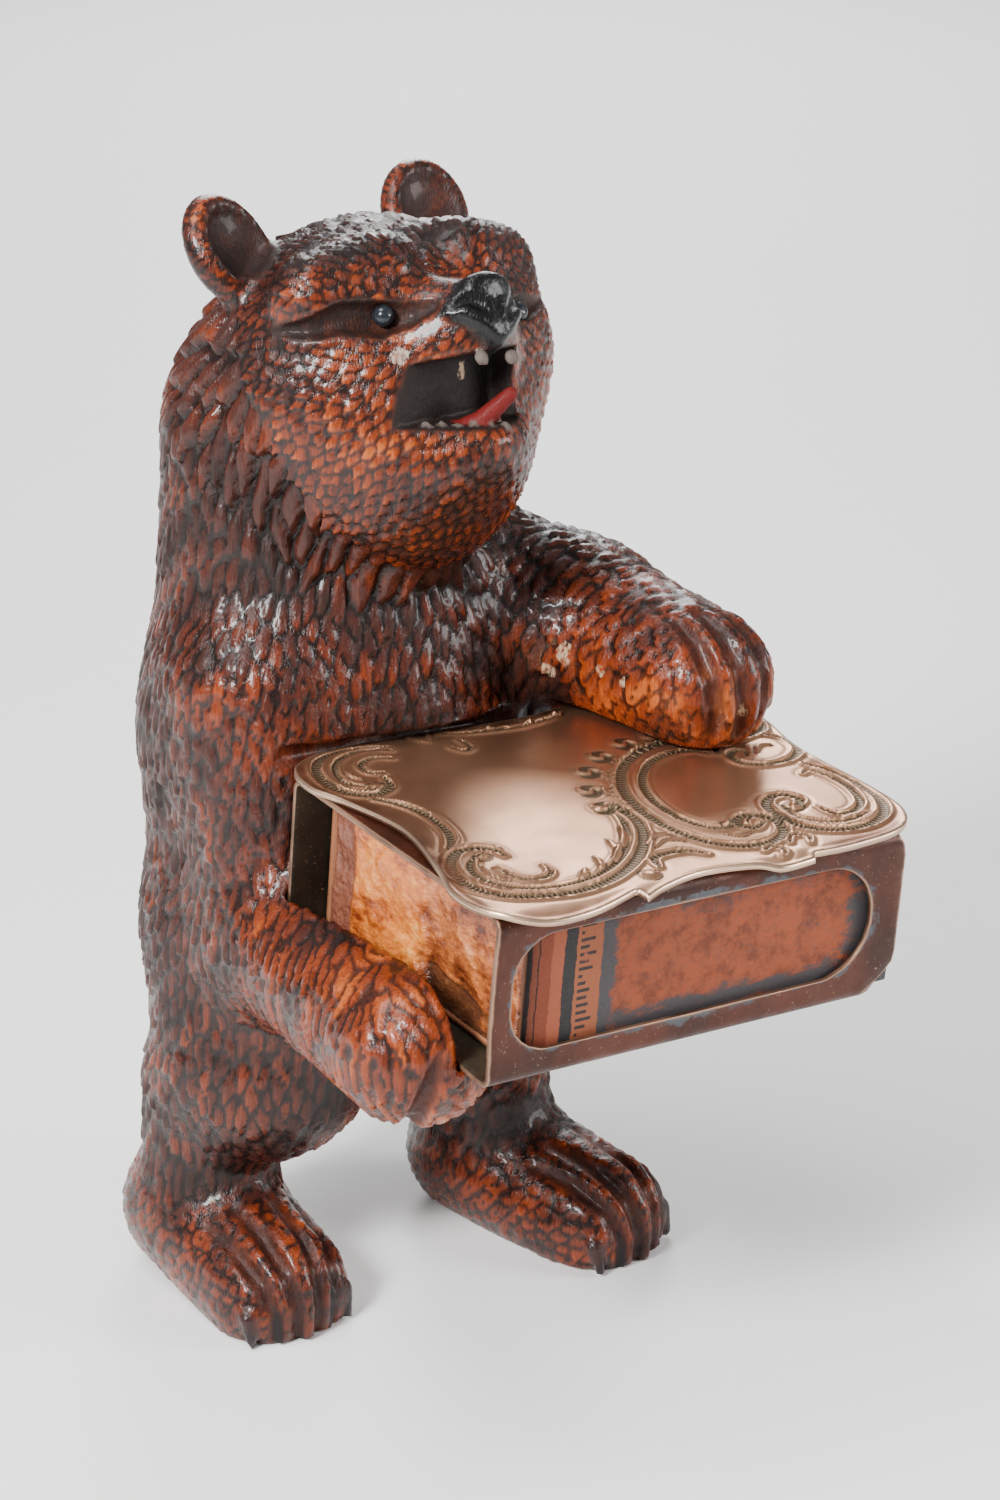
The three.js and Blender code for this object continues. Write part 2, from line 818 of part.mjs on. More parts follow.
// The plate's outline: a rectangle with full corners, waisted short sides and
// small notches either side of the front's middle. Shares of half its size.
function plateOutline(length, depth) {
  const middle = new THREE.Vector2(sleeveLength / 2 + 1.4, sleeveDepth / 2 + 0.8);
  const put = ([u, v]) =>
    new THREE.Vector2((u * length) / 2, (v * depth) / 2).add(middle);
  const frame = [
    [-0.4, -0.91],
    [-0.62, -0.985],
    [-0.83, -0.98],
    [-0.97, -0.83],
    [-1, -0.6],
    [-0.94, -0.36],
    [-0.875, 0.03],
    [-0.93, 0.4],
    [-0.98, 0.62],
    [-0.93, 0.83],
    [-0.69, 1],
    [-0.36, 0.98],
    [0.08, 0.92],
    [0.36, 0.975],
    [0.7, 1],
    [0.94, 0.86],
    [1, 0.5],
    [0.92, 0.07],
    [0.95, -0.4],
    [0.93, -0.68],
    [0.8, -0.88],
    [0.56, -0.93],
    [0.37, -0.925],
  ];
  const bump = [
    [0.35, -0.965],
    [0.2, -0.975],
    [0.11, -0.915],
    [-0.1, -0.885],
    [-0.28, -0.925],
    [-0.385, -0.975],
  ];
  const outline = new THREE.Shape();
  outline.moveTo(...put(frame[0]).toArray());
  outline.splineThru(frame.slice(1).map(put));
  outline.lineTo(...put(bump[0]).toArray());
  outline.splineThru(bump.slice(1).map(put));
  return outline;
}

// Embossed scrolls. Each starts at a place on the holder's top with a heading, and
// runs on in arcs of a radius and a turn, left turns positive.
const scrolls = [
  { start: [6.6, 12.2], heading: 100, width: 0.9, arcs: [[1.7, 150], [8.2, 150], [13, 82], [2.2, 150]] },
  { start: [10.6, 7.6], heading: 250, width: 0.8, arcs: [[3, -170], [3.4, -40]] },
  { start: [4, 29.6], heading: -35, width: 1, arcs: [[8.6, -112]] },
  { start: [13, 41.4], heading: 130, width: 0.9, arcs: [[7, 70], [8, 90], [2.6, 170]] },
  { start: [11.2, 38.6], heading: 140, width: 0.8, arcs: [[4.6, 150]] },
  {
    start: [46, 24.2],
    heading: 80,
    width: 1,
    arcs: [[2, 60], [9, 60], [15, 90], [7, 90], [3, 130], [1.6, 120]],
  },
  { start: [44.8, 24.6], heading: 110, width: 0.9, arcs: [[6, 70], [10, 60], [5.5, 60], [3, 90]] },
  { start: [46.4, 10.6], heading: 100, width: 1, arcs: [[2.2, 130], [6.6, 110], [7.6, 92], [9, 30]] },
  { start: [51, 15.8], heading: 70, width: 0.8, arcs: [[1.4, -110], [6.5, -110], [3, -90]] },
  { start: [47.2, 24.4], heading: 200, width: 0.8, arcs: [[1.6, 120], [4.8, 110], [4, 60]] },
  { start: [21.6, 2.6], heading: 70, width: 1, arcs: [[4.8, -120]] },
  { start: [18.4, 41.8], heading: -80, width: 0.8, arcs: [[2.4, 60], [1.6, -150]] },
];

// Small buds along the outside of the large cartouche: place, heading and length
const budCount = 6;
const budArc = { centre: [41, 16.6], radius: 14.6, from: 92, to: 178, length: 2.2, width: 1.3 };

function scrollStations({ start, heading, width, arcs }) {
  let angle = degrees(heading);
  const place = vector(start[0], start[1], 0);
  const stations = [];
  const total = arcs.reduce((sum, [radius, turn]) => sum + radius * Math.abs(degrees(turn)), 0);
  let run = 0;
  const mark = () => {
    const taper = Math.min(1, endTaper + (2.4 * Math.min(run, total - run)) / total);
    const half = (width * taper) / 2;
    const side = vector(-Math.sin(angle), Math.cos(angle), 0);
    const up = vector(0, 0, 1);
    const edge = ribHeight * taper;
    stations.push({ place: place.clone(), side, up, half, base: -ribRoot, edge });
  };
  mark();
  for (const [radius, turn] of arcs) {
    const length = radius * Math.abs(degrees(turn));
    const steps = Math.max(Math.round(length / ribStep), Math.ceil(Math.abs(turn) / 45));
    for (let n = 0; n < steps; n++) {
      angle += degrees(turn) / steps / 2;
      place.addScaledVector(vector(Math.cos(angle), Math.sin(angle), 0), length / steps);
      angle += degrees(turn) / steps / 2;
      run += length / steps;
      mark();
    }
  }
  return stations;
}

function buds() {
  const { centre, radius, from, to, length, width } = budArc;
  return Array.from({ length: budCount }, (_, n) => {
    const angle = degrees(from + ((to - from) * n) / (budCount - 1));
    const out = vector(Math.cos(angle), Math.sin(angle), 0);
    const base = vector(centre[0], centre[1], 0).addScaledVector(out, radius);
    const side = vector(-out.y, out.x, 0);
    const up = vector(0, 0, 1);
    const station = (along, half) => ({
      place: base.clone().addScaledVector(out, along * length),
      side,
      up,
      half: half * width,
      base: -ribRoot,
      edge: ribHeight * Math.min(1, half * 2.4),
    });
    return ridge([station(0, 0.3), station(0.5, 0.6), station(1, 0.35)]);
  });
}

function plate() {
  const base = extruded(plateOutline(plateLength, plateDepth), plateThickness, 2);
  const ribs = [...scrolls.map((scroll) => ridge(scrollStations(scroll))), ...buds()];
  const level = vector(0, 0, plateThickness);
  const raised = ribs.map((rib) => rib.translate(level.toArray()));
  return raised.reduce((whole, rib) => whole.add(rib), solidOf(base));
}

// The matchbox: a cover open at both ends, and a tray that lies in it
function matchboxCover() {
  const outside = roundedRectangle(matchboxWidth, matchboxHeight, 0.4);
  const innerWidth = matchboxWidth - 2 * cardThickness;
  const innerHeight = matchboxHeight - 2 * cardThickness;
  outside.holes.push(roundedRectangle(innerWidth, innerHeight, 0.2));
  const tube = extruded(outside, matchboxLength, 1);
  const alongX = new THREE.Matrix4().makeBasis(vector(0, 1, 0), vector(0, 0, 1), vector(1, 0, 0));
  return solidOf(tube.applyMatrix4(alongX));
}

function matchboxTray() {
  const width = matchboxWidth - 2 * (cardThickness + trayPlay);
  const height = matchboxHeight - 2 * cardThickness - trayPlay - trayHeadroom;
  const low = vector(0, -width / 2, 0);
  const wall = vector(cardThickness, cardThickness, cardThickness);
  const inside = block(
    low.clone().add(wall),
    vector(matchboxLength - cardThickness, width / 2 - cardThickness, height + 1),
  );
  return solidOf(block(low, vector(matchboxLength, width / 2, height))).subtract(solidOf(inside));
}

function finish(color, roughness, metalness) {
  return new THREE.MeshStandardMaterial({ color, roughness, metalness });
}

const stainedWood = finish(0x4a2314, 0.38, 0);
const blackBead = finish(0x1c2024, 0.15, 0);
const brownedSheet = finish(0x4c2a1e, 0.42, 0.6);
const bronzeSheet = finish(0xa77c56, 0.3, 0.9);
const printedCard = finish(0xa0542c, 0.7, 0);
const paperWrap = finish(0xb5642a, 0.35, 0);

function named(name, geometry, material) {
  const mesh = new THREE.Mesh(geometry, material);
  mesh.name = name;
  return mesh;
}

const figure = new THREE.Group();
figure.add(named("bear", geometryOfSolid(makeBear()), stainedWood));
for (const [name, side] of [
  ["right_eye", -1],
  ["left_eye", 1],
]) {
  figure.add(named(name, geometryOfSolid(bead(eyeRadius, eyePlace(side))), blackBead));
}

const holder = new THREE.Group();
holder.position.copy(holderOrigin);
holder.quaternion.copy(holderTurn);
holder.add(named("match_sleeve", geometryOfSolid(sleeve()), brownedSheet));
const topPlate = named("embossed_plate", geometryOfSolid(plate()), bronzeSheet);
topPlate.position.z = sleeveHeight + touchGap;
holder.add(topPlate);
const cover = named("matchbox_cover", geometryOfSolid(matchboxCover()), printedCard);
cover.position.set(
  matchboxInset,
  sleeveDepth / 2,
  sheetThickness + touchGap + matchboxHeight / 2,
);
holder.add(cover);
const tray = named("matchbox_tray", geometryOfSolid(matchboxTray()), paperWrap);
tray.position.set(
  matchboxInset,
  sleeveDepth / 2,
  sheetThickness + touchGap + cardThickness + trayPlay,
);
holder.add(tray);

// The finished object stands on its feet, with the middle of its box at the origin
const object = new THREE.Group();
const whole = new THREE.Group();
whole.add(figure, holder);
object.add(whole);
object.updateMatrixWorld(true);
const box = new THREE.Box3().setFromObject(object, true);
whole.position.set(-(box.min.x + box.max.x) / 2, -(box.min.y + box.max.y) / 2, -box.min.z);

export default object;
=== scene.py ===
"""A bear carved from one piece of wood that holds a sheet-metal match holder."""
from itertools import product

import bmesh
import bpy
import numpy as np
from bpy.props import FloatProperty, FloatVectorProperty, PointerProperty
from mathutils import Matrix, Vector, kdtree


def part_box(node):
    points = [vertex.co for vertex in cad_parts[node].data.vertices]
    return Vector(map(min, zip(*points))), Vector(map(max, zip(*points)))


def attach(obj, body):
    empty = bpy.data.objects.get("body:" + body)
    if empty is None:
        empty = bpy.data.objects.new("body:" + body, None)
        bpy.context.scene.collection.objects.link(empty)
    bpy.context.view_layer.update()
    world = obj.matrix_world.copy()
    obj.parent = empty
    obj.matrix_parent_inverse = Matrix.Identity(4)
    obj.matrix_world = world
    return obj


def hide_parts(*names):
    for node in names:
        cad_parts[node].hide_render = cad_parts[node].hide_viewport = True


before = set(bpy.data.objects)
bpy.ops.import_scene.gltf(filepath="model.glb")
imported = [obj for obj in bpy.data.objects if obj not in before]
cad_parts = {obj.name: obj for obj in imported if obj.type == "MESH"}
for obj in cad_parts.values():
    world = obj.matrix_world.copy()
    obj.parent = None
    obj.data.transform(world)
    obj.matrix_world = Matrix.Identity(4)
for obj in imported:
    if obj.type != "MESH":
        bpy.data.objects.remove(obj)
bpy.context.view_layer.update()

bl_info = {
    "name": "Carved Bear Match Holder",
    "version": (1, 0, 0),
    "blender": (4, 5, 0),
    "location": "View3D > Sidebar > Carved Bear",
    "description": "Makes a carved wooden bear with its sheet-metal match holder",
    "category": "Add Mesh",
}

# Millimetres, with the bear's own frame: it faces -Y and its left side is +X
BEAR_HEIGHT = 132
SHARE = BEAR_HEIGHT / 1000
MM = 0.001

# Sizes of the match holder and the matchbox in it
SLEEVE = np.array([54.0, 40.8, 19.5])
SHEET = 0.6
BOX = np.array([49.0, 38.6, 17.3])
BOX_INSET = 4.6
CARD = 0.7
TRAY_WIDTH = 36.6
TRAY_HEIGHT = 15.0
TRAY_LEVEL = 1.9
TRAY_SETBACK = 0.3
GAP = 0.3


def at(x, y, z):
    """A place on the bear, in thousandths of its height."""
    return np.array([x, y, z], float) * SHARE


def turned(yaw, pitch, roll):
    """A turn by yaw to the left, then pitch that raises the nose, then roll."""
    y, p, r = np.radians([yaw, -pitch, roll])
    around_z = np.array([[np.cos(y), -np.sin(y), 0], [np.sin(y), np.cos(y), 0], [0, 0, 1]])
    around_x = np.array([[1, 0, 0], [0, np.cos(p), -np.sin(p)], [0, np.sin(p), np.cos(p)]])
    around_y = np.array([[np.cos(r), 0, np.sin(r)], [0, 1, 0], [-np.sin(r), 0, np.cos(r)]])
    return around_z @ around_x @ around_y


HOLDER_TURN = turned(-6.3, -2.95, 2.88)
HOLDER_ORIGIN = HOLDER_TURN @ np.array([-SLEEVE[0] / 2, -SLEEVE[1], 0]) + at(43, -149, 382)


def on_holder(x, y, z):
    return HOLDER_TURN @ np.array([x, y, z], float) + HOLDER_ORIGIN


def tray_corners():
    low = np.array([BOX_INSET, (SLEEVE[1] - TRAY_WIDTH) / 2, TRAY_LEVEL])
    size = np.array([BOX[0], TRAY_WIDTH, TRAY_HEIGHT])
    picks = [(a, b, c) for a in (0, 1) for b in (0, 1) for c in (0, 1)]
    return np.array([on_holder(*(low + size * np.array(p))) for p in picks])


def row_shift():
    """From the bear's own frame to the row frame, in millimetres."""
    low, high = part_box("matchbox_tray")
    corners = tray_corners()
    middle = (corners.min(0) + corners.max(0)) / 2
    return (np.array(low) + np.array(high)) / 2 / MM - middle


SHIFT = row_shift()


# Fields: the distance of points from a mass, below zero inside it

def norm(a):
    return np.sqrt((a * a).sum(-1))


def limb(p, start, end, start_radius, end_radius):
    axis = (end - start).astype(p.dtype)
    t = np.clip(((p - start.astype(p.dtype)) @ axis) / (axis @ axis), 0, 1)
    near = p - start.astype(p.dtype) - t[:, None] * axis
    return norm(near) - (start_radius + (end_radius - start_radius) * t) * p.dtype.type(SHARE)


def ball(p, centre, radii, turn=np.eye(3)):
    size = (np.asarray(radii, float) * SHARE).astype(p.dtype)
    q = ((p - centre.astype(p.dtype)) @ turn.astype(p.dtype)) / size
    near = norm(q)
    return near * (near - 1) / (norm(q / size) + 1e-9)


def pressed(p, x, y, flatness):
    """The points, with their depth about a line stretched."""
    q = p - np.array([x * SHARE, y * SHARE, 0], p.dtype)
    q[:, 1] *= flatness
    return q


def smooth(a, b, softness):
    h = np.clip(0.5 + 0.5 * (b - a) / (softness * SHARE), 0, 1)
    return b + (a - b) * h - softness * SHARE * h * (1 - h)


def smooth_cut(a, b, softness):
    return -smooth(-a, b, softness)


def joined(masses, softness):
    total = masses[0]
    for mass in masses[1:]:
        total = smooth(mass, total, softness)
    return total


def step_up(x, low, high):
    t = np.clip((x - low) / (high - low), 0, 1)
    return t * t * (3 - 2 * t)


HEAD_CENTRE = at(14, -45, 835)
HEAD_TURN = turned(6, 33, 4)


def on_head(x, y, z):
    """A place on the head: x to its left, y forward to the nose, z up."""
    return HEAD_TURN @ at(x, -y, z) + HEAD_CENTRE


def in_head(p):
    """Points in the head's own frame, in thousandths of the bear's height."""
    q = ((p - HEAD_CENTRE.astype(p.dtype)) @ HEAD_TURN.astype(p.dtype)) / p.dtype.type(SHARE)
    q[:, 1] *= -1
    return q


LEFT_PAW = on_holder(0.87 * SLEEVE[0], 0.755 * SLEEVE[1], SLEEVE[2] + 7.4)
RIGHT_HAND = on_holder(0, 0.34 * SLEEVE[1], -0.8)
LEFT_ELBOW = at(189, -102, 583)
RIGHT_ELBOW = at(-106, -72, 364)
LEFT_SHOULDER = at(121, -15, 610)
RIGHT_SHOULDER = at(-102, -27, 576)
RIGHT_HEEL, RIGHT_TOES = at(-124, 64, 53), at(-138, -72, 27)
LEFT_HEEL, LEFT_TOES = at(141, -15, 53), at(168, -155, 27)
FEET = ((RIGHT_HEEL, RIGHT_TOES), (LEFT_HEEL, LEFT_TOES))
SIDES = (-1, 1)


def face_masses(p):
    skull = joined(
        [
            ball(p, on_head(0, -8, 0), (148, 133, 137), HEAD_TURN),
            ball(p, on_head(-9, 4, -68), (102, 110, 106), HEAD_TURN),
            ball(p, on_head(61, 30, 4), (77, 80, 76), HEAD_TURN),
        ],
        38,
    )
    brows = [limb(p, on_head(46 * s, 92, 61), on_head(102 * s, 68, 58), 32, 33) for s in SIDES]
    muzzle = limb(p, on_head(-4, 68, -15), on_head(-7, 112, -8), 62, 49)
    chin = ball(p, on_head(-12, 66, -106), (50, 62, 32), HEAD_TURN)
    whole = joined([skull, joined([*brows, muzzle, chin], 23)], 28)
    furrow = limb(p, on_head(2, 132, 56), on_head(6, 88, 128), 16, 22)
    return smooth_cut(whole, furrow, 24), muzzle


def body_masses(p):
    """The distance from each of the bear's masses, by name."""
    m = {}
    q = pressed(p, 15, 23, 1.18)
    m["torso"] = joined(
        [
            limb(q, at(0, 0, 348), at(0, 0, 500), 180, 179),
            limb(q, at(0, -8, 530), at(-21, 0, 773), 176, 138),
            ball(p, at(23, -38, 432), (136, 117, 121)),
        ],
        45,
    )
    m["right_foot"] = limb(p, RIGHT_HEEL, RIGHT_TOES, 67, 64)
    m["left_foot"] = limb(p, LEFT_HEEL, LEFT_TOES, 65, 64)
    m["right_leg"] = joined(
        [
            limb(p, at(-64, 11, 318), at(-91, 0, 220), 117, 101),
            limb(p, at(-117, 34, 182), at(-129, 42, 68), 68, 58),
        ],
        23,
    )
    m["left_leg"] = joined(
        [
            limb(p, at(91, -4, 303), at(121, -23, 205), 106, 83),
            limb(p, at(129, -27, 182), at(141, -34, 68), 68, 59),
        ],
        23,
    )
    m["left_upper"] = limb(p, LEFT_SHOULDER, LEFT_ELBOW, 87, 73)
    m["left_fore"] = limb(p, LEFT_ELBOW, LEFT_PAW, 73, 64)
    m["right_upper"] = limb(p, RIGHT_SHOULDER, RIGHT_ELBOW, 80, 76)
    m["right_fore"] = limb(p, RIGHT_ELBOW, RIGHT_HAND, 76, 67)
    m["face"], m["muzzle"] = face_masses(p)
    return m


def bear_of(m):
    legs = np.minimum(
        smooth(m["left_leg"], m["left_foot"], 23), smooth(m["right_leg"], m["right_foot"], 23)
    )
    body = joined([m["torso"], legs], 38)
    left_arm = joined([m["left_upper"], m["left_fore"]], 30)
    right_arm = joined([m["right_upper"], m["right_fore"]], 30)
    return joined([body, left_arm, right_arm, m["face"]], 32), body


def plain_bear(p):
    return bear_of(body_masses(p))[0]


def slope(field, p, step=0.05):
    """The outward normals of a field at points."""
    k = np.array([[1, -1, -1], [-1, -1, 1], [-1, 1, -1], [1, 1, 1]], p.dtype)
    total = sum(field(p + e * step)[:, None] * e for e in k)
    return total / (norm(total)[:, None] + 1e-12)


def onto(field, p, rounds=3, step=0.05):
    for _ in range(rounds):
        p = p - slope(field, p, step) * field(p)[:, None]
    return p


def line_distance(p, places, radii):
    """The distance from a line through places, less a radius at each place."""
    parts = [
        limb(p, a, b, ra, rb)
        for a, b, ra, rb in zip(places[:-1], places[1:], radii[:-1], radii[1:])
    ]
    return np.minimum.reduce(parts)


def box_distance(p, low, high, corner=0.0):
    middle, half = (low + high) / 2, (high - low) / 2 - corner
    q = np.abs(p - middle.astype(p.dtype)) - half.astype(p.dtype)
    return norm(np.maximum(q, 0)) + np.minimum(q.max(-1), 0) - corner


# The grooves between the toes and fingers: how far each lies to the side, then its places
# from the back to the tip, as a share of that offset and the way forward and up
TOE_OFFSETS = (-40, -14, 12, 37)
TOE_STEPS = ((1.08, -40, 80), (1.08, 4, 78), (1, 44, 60), (0.94, 65, 30), (0.92, 68, -10))
PAW_OFFSETS = (-34, -6, 22)
PAW_STEPS = ((0.8, 0, 62), (0.95, 28, 52), (1.05, 52, 24), (1.05, 60, -6), (1.05, 56, -34))
THUMB = ((-22, -59, 16), (-32, -58, -10), (-30, -36, -45), (-15, 0, -64))
TOE_GROOVE, FINGER_GROOVE = 6.5, 8


def level_ways(start, end):
    """The level directions along a limb and across it."""
    ahead = (end - start) * np.array([1, 1, 0])
    ahead /= norm(ahead)
    return ahead, np.array([-ahead[1], ahead[0], 0])


def toe_lines(heel, toes):
    ahead, side = level_ways(heel, toes)
    return [
        [
            (toes + side * offset * spread * SHARE + ahead * forward * SHARE) * [1, 1, 0]
            + [0, 0, up * SHARE]
            for spread, forward, up in TOE_STEPS
        ]
        for offset in TOE_OFFSETS
    ]


def paw_lines():
    ahead, side = level_ways(LEFT_ELBOW, LEFT_PAW)
    return [
        [
            LEFT_PAW + side * offset * spread * SHARE + ahead * forward * SHARE + at(0, 0, up)
            for spread, forward, up in PAW_STEPS
        ]
        for offset in PAW_OFFSETS
    ]


def on_surface_line(line):
    return list(onto(plain_bear, np.array(line), 4))


def groove_lines():
    """Each groove's line on the surface, and its radius."""
    toes = [line for foot in FEET for line in toe_lines(*foot)]
    fingers = [*paw_lines(), [RIGHT_HAND + at(*place) for place in THUMB]]
    lines = [(on_surface_line(line), TOE_GROOVE) for line in toes]
    return lines + [(on_surface_line(line), FINGER_GROOVE) for line in fingers]


# The eye slits from the nose outwards: their places on the head and their radii
SLITS = {
    -1: ((-38, 130, 9), (-58, 120, 14), (-78, 109, 17), (-102, 92, 27), (-118, 70, 32), (-129, 45, 39)),
    1: ((38, 128, -2), (50, 121, -1), (64, 112, 2), (78, 102, 4), (90, 92, 6), (102, 80, 9)),
}
SLIT_RADII = {-1: (6, 11, 15, 13, 9, 3), 1: (4, 8, 11, 9, 6, 2)}


def slit_line(side):
    return on_surface_line([on_head(*place) for place in SLITS[side]])


CLAW_OFFSETS = (-52, -27, -1, 24, 48)
CLAW_RADII = (8, 4)
CLAW_TOP = 6


def claw_ends(heel, toes):
    """Where each claw of a foot starts and ends. The outer ones lie further back."""
    ahead, side = level_ways(heel, toes)
    claws = []
    for offset in CLAW_OFFSETS:
        back = abs(offset) * 0.22
        foot = toes * [1, 1, 0] + side * offset * 0.98 * SHARE
        ends = [foot + ahead * (out - back) * SHARE + at(0, 0, up) for out, up in ((50, 28), (56, 5))]
        claws.append(ends)
    return claws


CLAWS = [claw for foot in FEET for claw in claw_ends(*foot)]
CARVED = {"slits": {}, "grooves": []}
ZONES = ("nose", "ear", "mouth", "tongue", "tooth", "slit", "groove", "hollow", "claw")
FAR = 9.0
HEAD_REACH = 34
PLATE_SPACE = np.array([-1.7, -3.2, 19.2]), np.array([58.5, 45.6, 21.1])


def both_ears(p):
    """The ears, and the hollows in them, whose edges are creased."""
    ears = hollows = np.full(len(p), FAR, p.dtype)
    for s in SIDES:
        turn = HEAD_TURN @ turned(-6 * s, 0, 14 * s)
        centre = on_head(112 * s + 5, -6, 129 + 2 * s)
        local = (p - centre.astype(p.dtype)) @ turn.astype(p.dtype) / p.dtype.type(SHARE)
        around = np.arctan2(local[:, 2] - 5, local[:, 0])
        hollow = ball(p, centre + turn @ at(-2 * s, -20, 4), (35, 17, 42), turn)
        hollow = hollow + 0.5 * np.abs(np.sin(around * 7)) * step_up(norm(local), 26, 40)
        ears = np.minimum(ears, smooth_cut(ball(p, centre, (43, 22, 51), turn), hollow, 5))
        hollows = np.minimum(hollows, hollow)
    return ears, hollows


def head_carved(d, p, h):
    """The head with its ears, eye slits, mouth and nose, and the distance from each."""
    share = p.dtype.type(SHARE)
    ears, hollows = both_ears(p)
    slit = np.minimum.reduce([line_distance(p, CARVED["slits"][s], SLIT_RADII[s]) for s in SIDES])
    mouth, nose = mouth_distance(h) * share, nose_distance(h) * share
    tongue, teeth = (part * share for part in mouth_parts(h))
    d = smooth_cut(smooth(d, ears, 15), slit, 4)
    d = smooth(smooth_cut(d, mouth, 4), nose, 3)
    d = np.minimum(d, np.minimum(tongue, teeth))
    return d, {
        "nose": nose, "ear": ears, "mouth": mouth, "tongue": tongue,
        "tooth": teeth, "slit": slit, "hollow": hollows,
    }


def detailed_bear(p, with_masses=False):
    """The bear with its ears, nose, mouth, eye slits, fingers and toes."""
    m = body_masses(p)
    d, body = bear_of(m)
    q = in_head(p)
    zones = {name: np.full(len(p), FAR, p.dtype) for name in ZONES}
    for line, radius in CARVED["grooves"]:
        here = ((p > np.min(line, 0) - 3) & (p < np.max(line, 0) + 3)).all(-1)
        if here.any():
            radii = [radius * 0.55] + [radius] * (len(line) - 2) + [radius * 0.8]
            cut = line_distance(p[here], line, radii)
            d[here] = smooth_cut(d[here], cut, 7)
            zones["groove"][here] = np.minimum(zones["groove"][here], cut)
    near_head = norm(p - HEAD_CENTRE.astype(p.dtype)) < HEAD_REACH
    if near_head.any():
        d[near_head], details = head_carved(d[near_head], p[near_head], q[near_head])
        for name, value in details.items():
            zones[name][near_head] = value
    low_down = p[:, 2] < CLAW_TOP
    if low_down.any():
        claw = np.minimum.reduce([limb(p[low_down], a, b, *CLAW_RADII) for a, b in CLAWS])
        d[low_down] = smooth(d[low_down], claw, 5)
        zones["claw"][low_down] = claw
    h = (p - HOLDER_ORIGIN.astype(p.dtype)) @ HOLDER_TURN.astype(p.dtype)
    sleeve = box_distance(h, np.zeros(3) - GAP, SLEEVE + [GAP, GAP, GAP + SHEET], 0.2)
    space = np.minimum(sleeve, box_distance(h, *PLATE_SPACE, 0.3))
    d = np.maximum(np.maximum(d, -space), -p[:, 2])
    if with_masses:
        m.update(zones, body=body, space=space, head=q)
        return d, m
    return d


def ellipsoid(q, centre, radii):
    r = np.asarray(radii, q.dtype)
    k = (q - np.asarray(centre, q.dtype)) / r
    near = norm(k)
    return near * (near - 1) / (norm(k / r) + 1e-9)


def soft_join(a, b, k):
    h = np.clip(0.5 + 0.5 * (b - a) / k, 0, 1)
    return b + (a - b) * h - k * h * (1 - h)


MUZZLE_TURN = turned(0, 4, 10)
MUZZLE_MIDDLE = np.array([-6.0, 120.0, -8.0])


def in_muzzle(h):
    """Points in the muzzle's own frame, from points in the head's frame."""
    q = (h - MUZZLE_MIDDLE.astype(h.dtype)) * np.array([1, -1, 1], h.dtype)
    q = q @ MUZZLE_TURN.astype(h.dtype)
    return q * np.array([1, -1, 1], h.dtype)


def plane(q, through, normal):
    """The distance from a plane, below zero behind it."""
    n = np.asarray(normal, float)
    n = (n / norm(n)).astype(q.dtype)
    return q @ n - float(n @ np.asarray(through, float))


def chain(q, places, radii):
    parts = []
    for a, b, ra, rb in zip(places[:-1], places[1:], radii[:-1], radii[1:]):
        a, b = np.array(a, q.dtype), np.array(b, q.dtype)
        t = np.clip(((q - a) @ (b - a)) / ((b - a) @ (b - a)), 0, 1)
        parts.append(norm(q - a - t[:, None] * (b - a)) - (ra + (rb - ra) * t))
    return np.minimum.reduce(parts)


def nose_distance(h):
    """The heart-shaped nose pad, split down its middle, with two nostrils."""
    q = in_muzzle(h)
    q[:, 0] = np.abs(q[:, 0])
    front = ellipsoid(q, (0, 0, -4), (54, 50, 50))
    front = soft_join(front, ellipsoid(q, (0, 40, 22), (24, 12, 13)), 8)
    outline = np.maximum.reduce([
        plane(q, (40, 0, 1), (0.66, 0, -0.75)),
        plane(q, (38, 0, 6), (0.8, 0, 0.6)),
        plane(q, (0, 0, 34), (0.2, 0, 1)),
        plane(q, (0, 14, 0), (0, -1, 0)),
    ])
    pad = -soft_join(-front, -outline, 8)
    split = chain(q, [(0, 48, 8), (0, 50, -16), (0, 44, -40)], [2, 3.6, 3])
    pad = -soft_join(-pad, split, 4)
    slit = chain(q, [(38, 33, 4), (25, 44, 8), (12, 50, -4), (8, 50, -17)], [3, 6, 5, 2.5])
    return -soft_join(-pad, slit, 3)


def mouth_distance(h):
    """The open mouth: a wedge between the lips, closed towards the bear's left cheek."""
    top = plane(h, (0, 114, -27), (0, 0.27, 1))
    bottom = plane(h, (0, 92, -73), (0, -0.62, -1))
    back = plane(h, (-90, 84, -60), (-28, -82, 0))
    corner = plane(h, (0, 86, -73), (0, -0.88, 0.47))
    far = h[:, 0] - 22
    back = np.maximum(back, 52 - h[:, 1])
    near = np.maximum(corner, -150 - h[:, 0])
    return np.maximum.reduce([top, bottom, back, near, far])


def mouth_parts(h):
    tongue = chain(h, [(-34, 84, -84), (-16, 112, -84), (2, 138, -72)], [9, 9, 6])
    teeth = [ellipsoid(h, (x, f, z), (6, 5, 7)) for x, f, z in ((-26, 150, -41), (2, 154, -46))]
    for n in range(6):
        teeth.append(ellipsoid(h, (-58 + 11 * n, 94 + 6 * n, -77 - 4 * n), (4, 4, 7)))
    return tongue, np.minimum.reduce(teeth)


# The surface's mesh, finer round the head

FINE_RADIUS = 27.0
FINENESS = 0.52
AT_ONCE = 200000


def real_place(g):
    """The place of a point of the even grid, drawn in towards the head."""
    away = g - HEAD_CENTRE
    reach = norm(away)[:, None] / FINE_RADIUS + 1e-9
    return away * (1 - FINENESS * np.tanh(reach) / reach) + HEAD_CENTRE


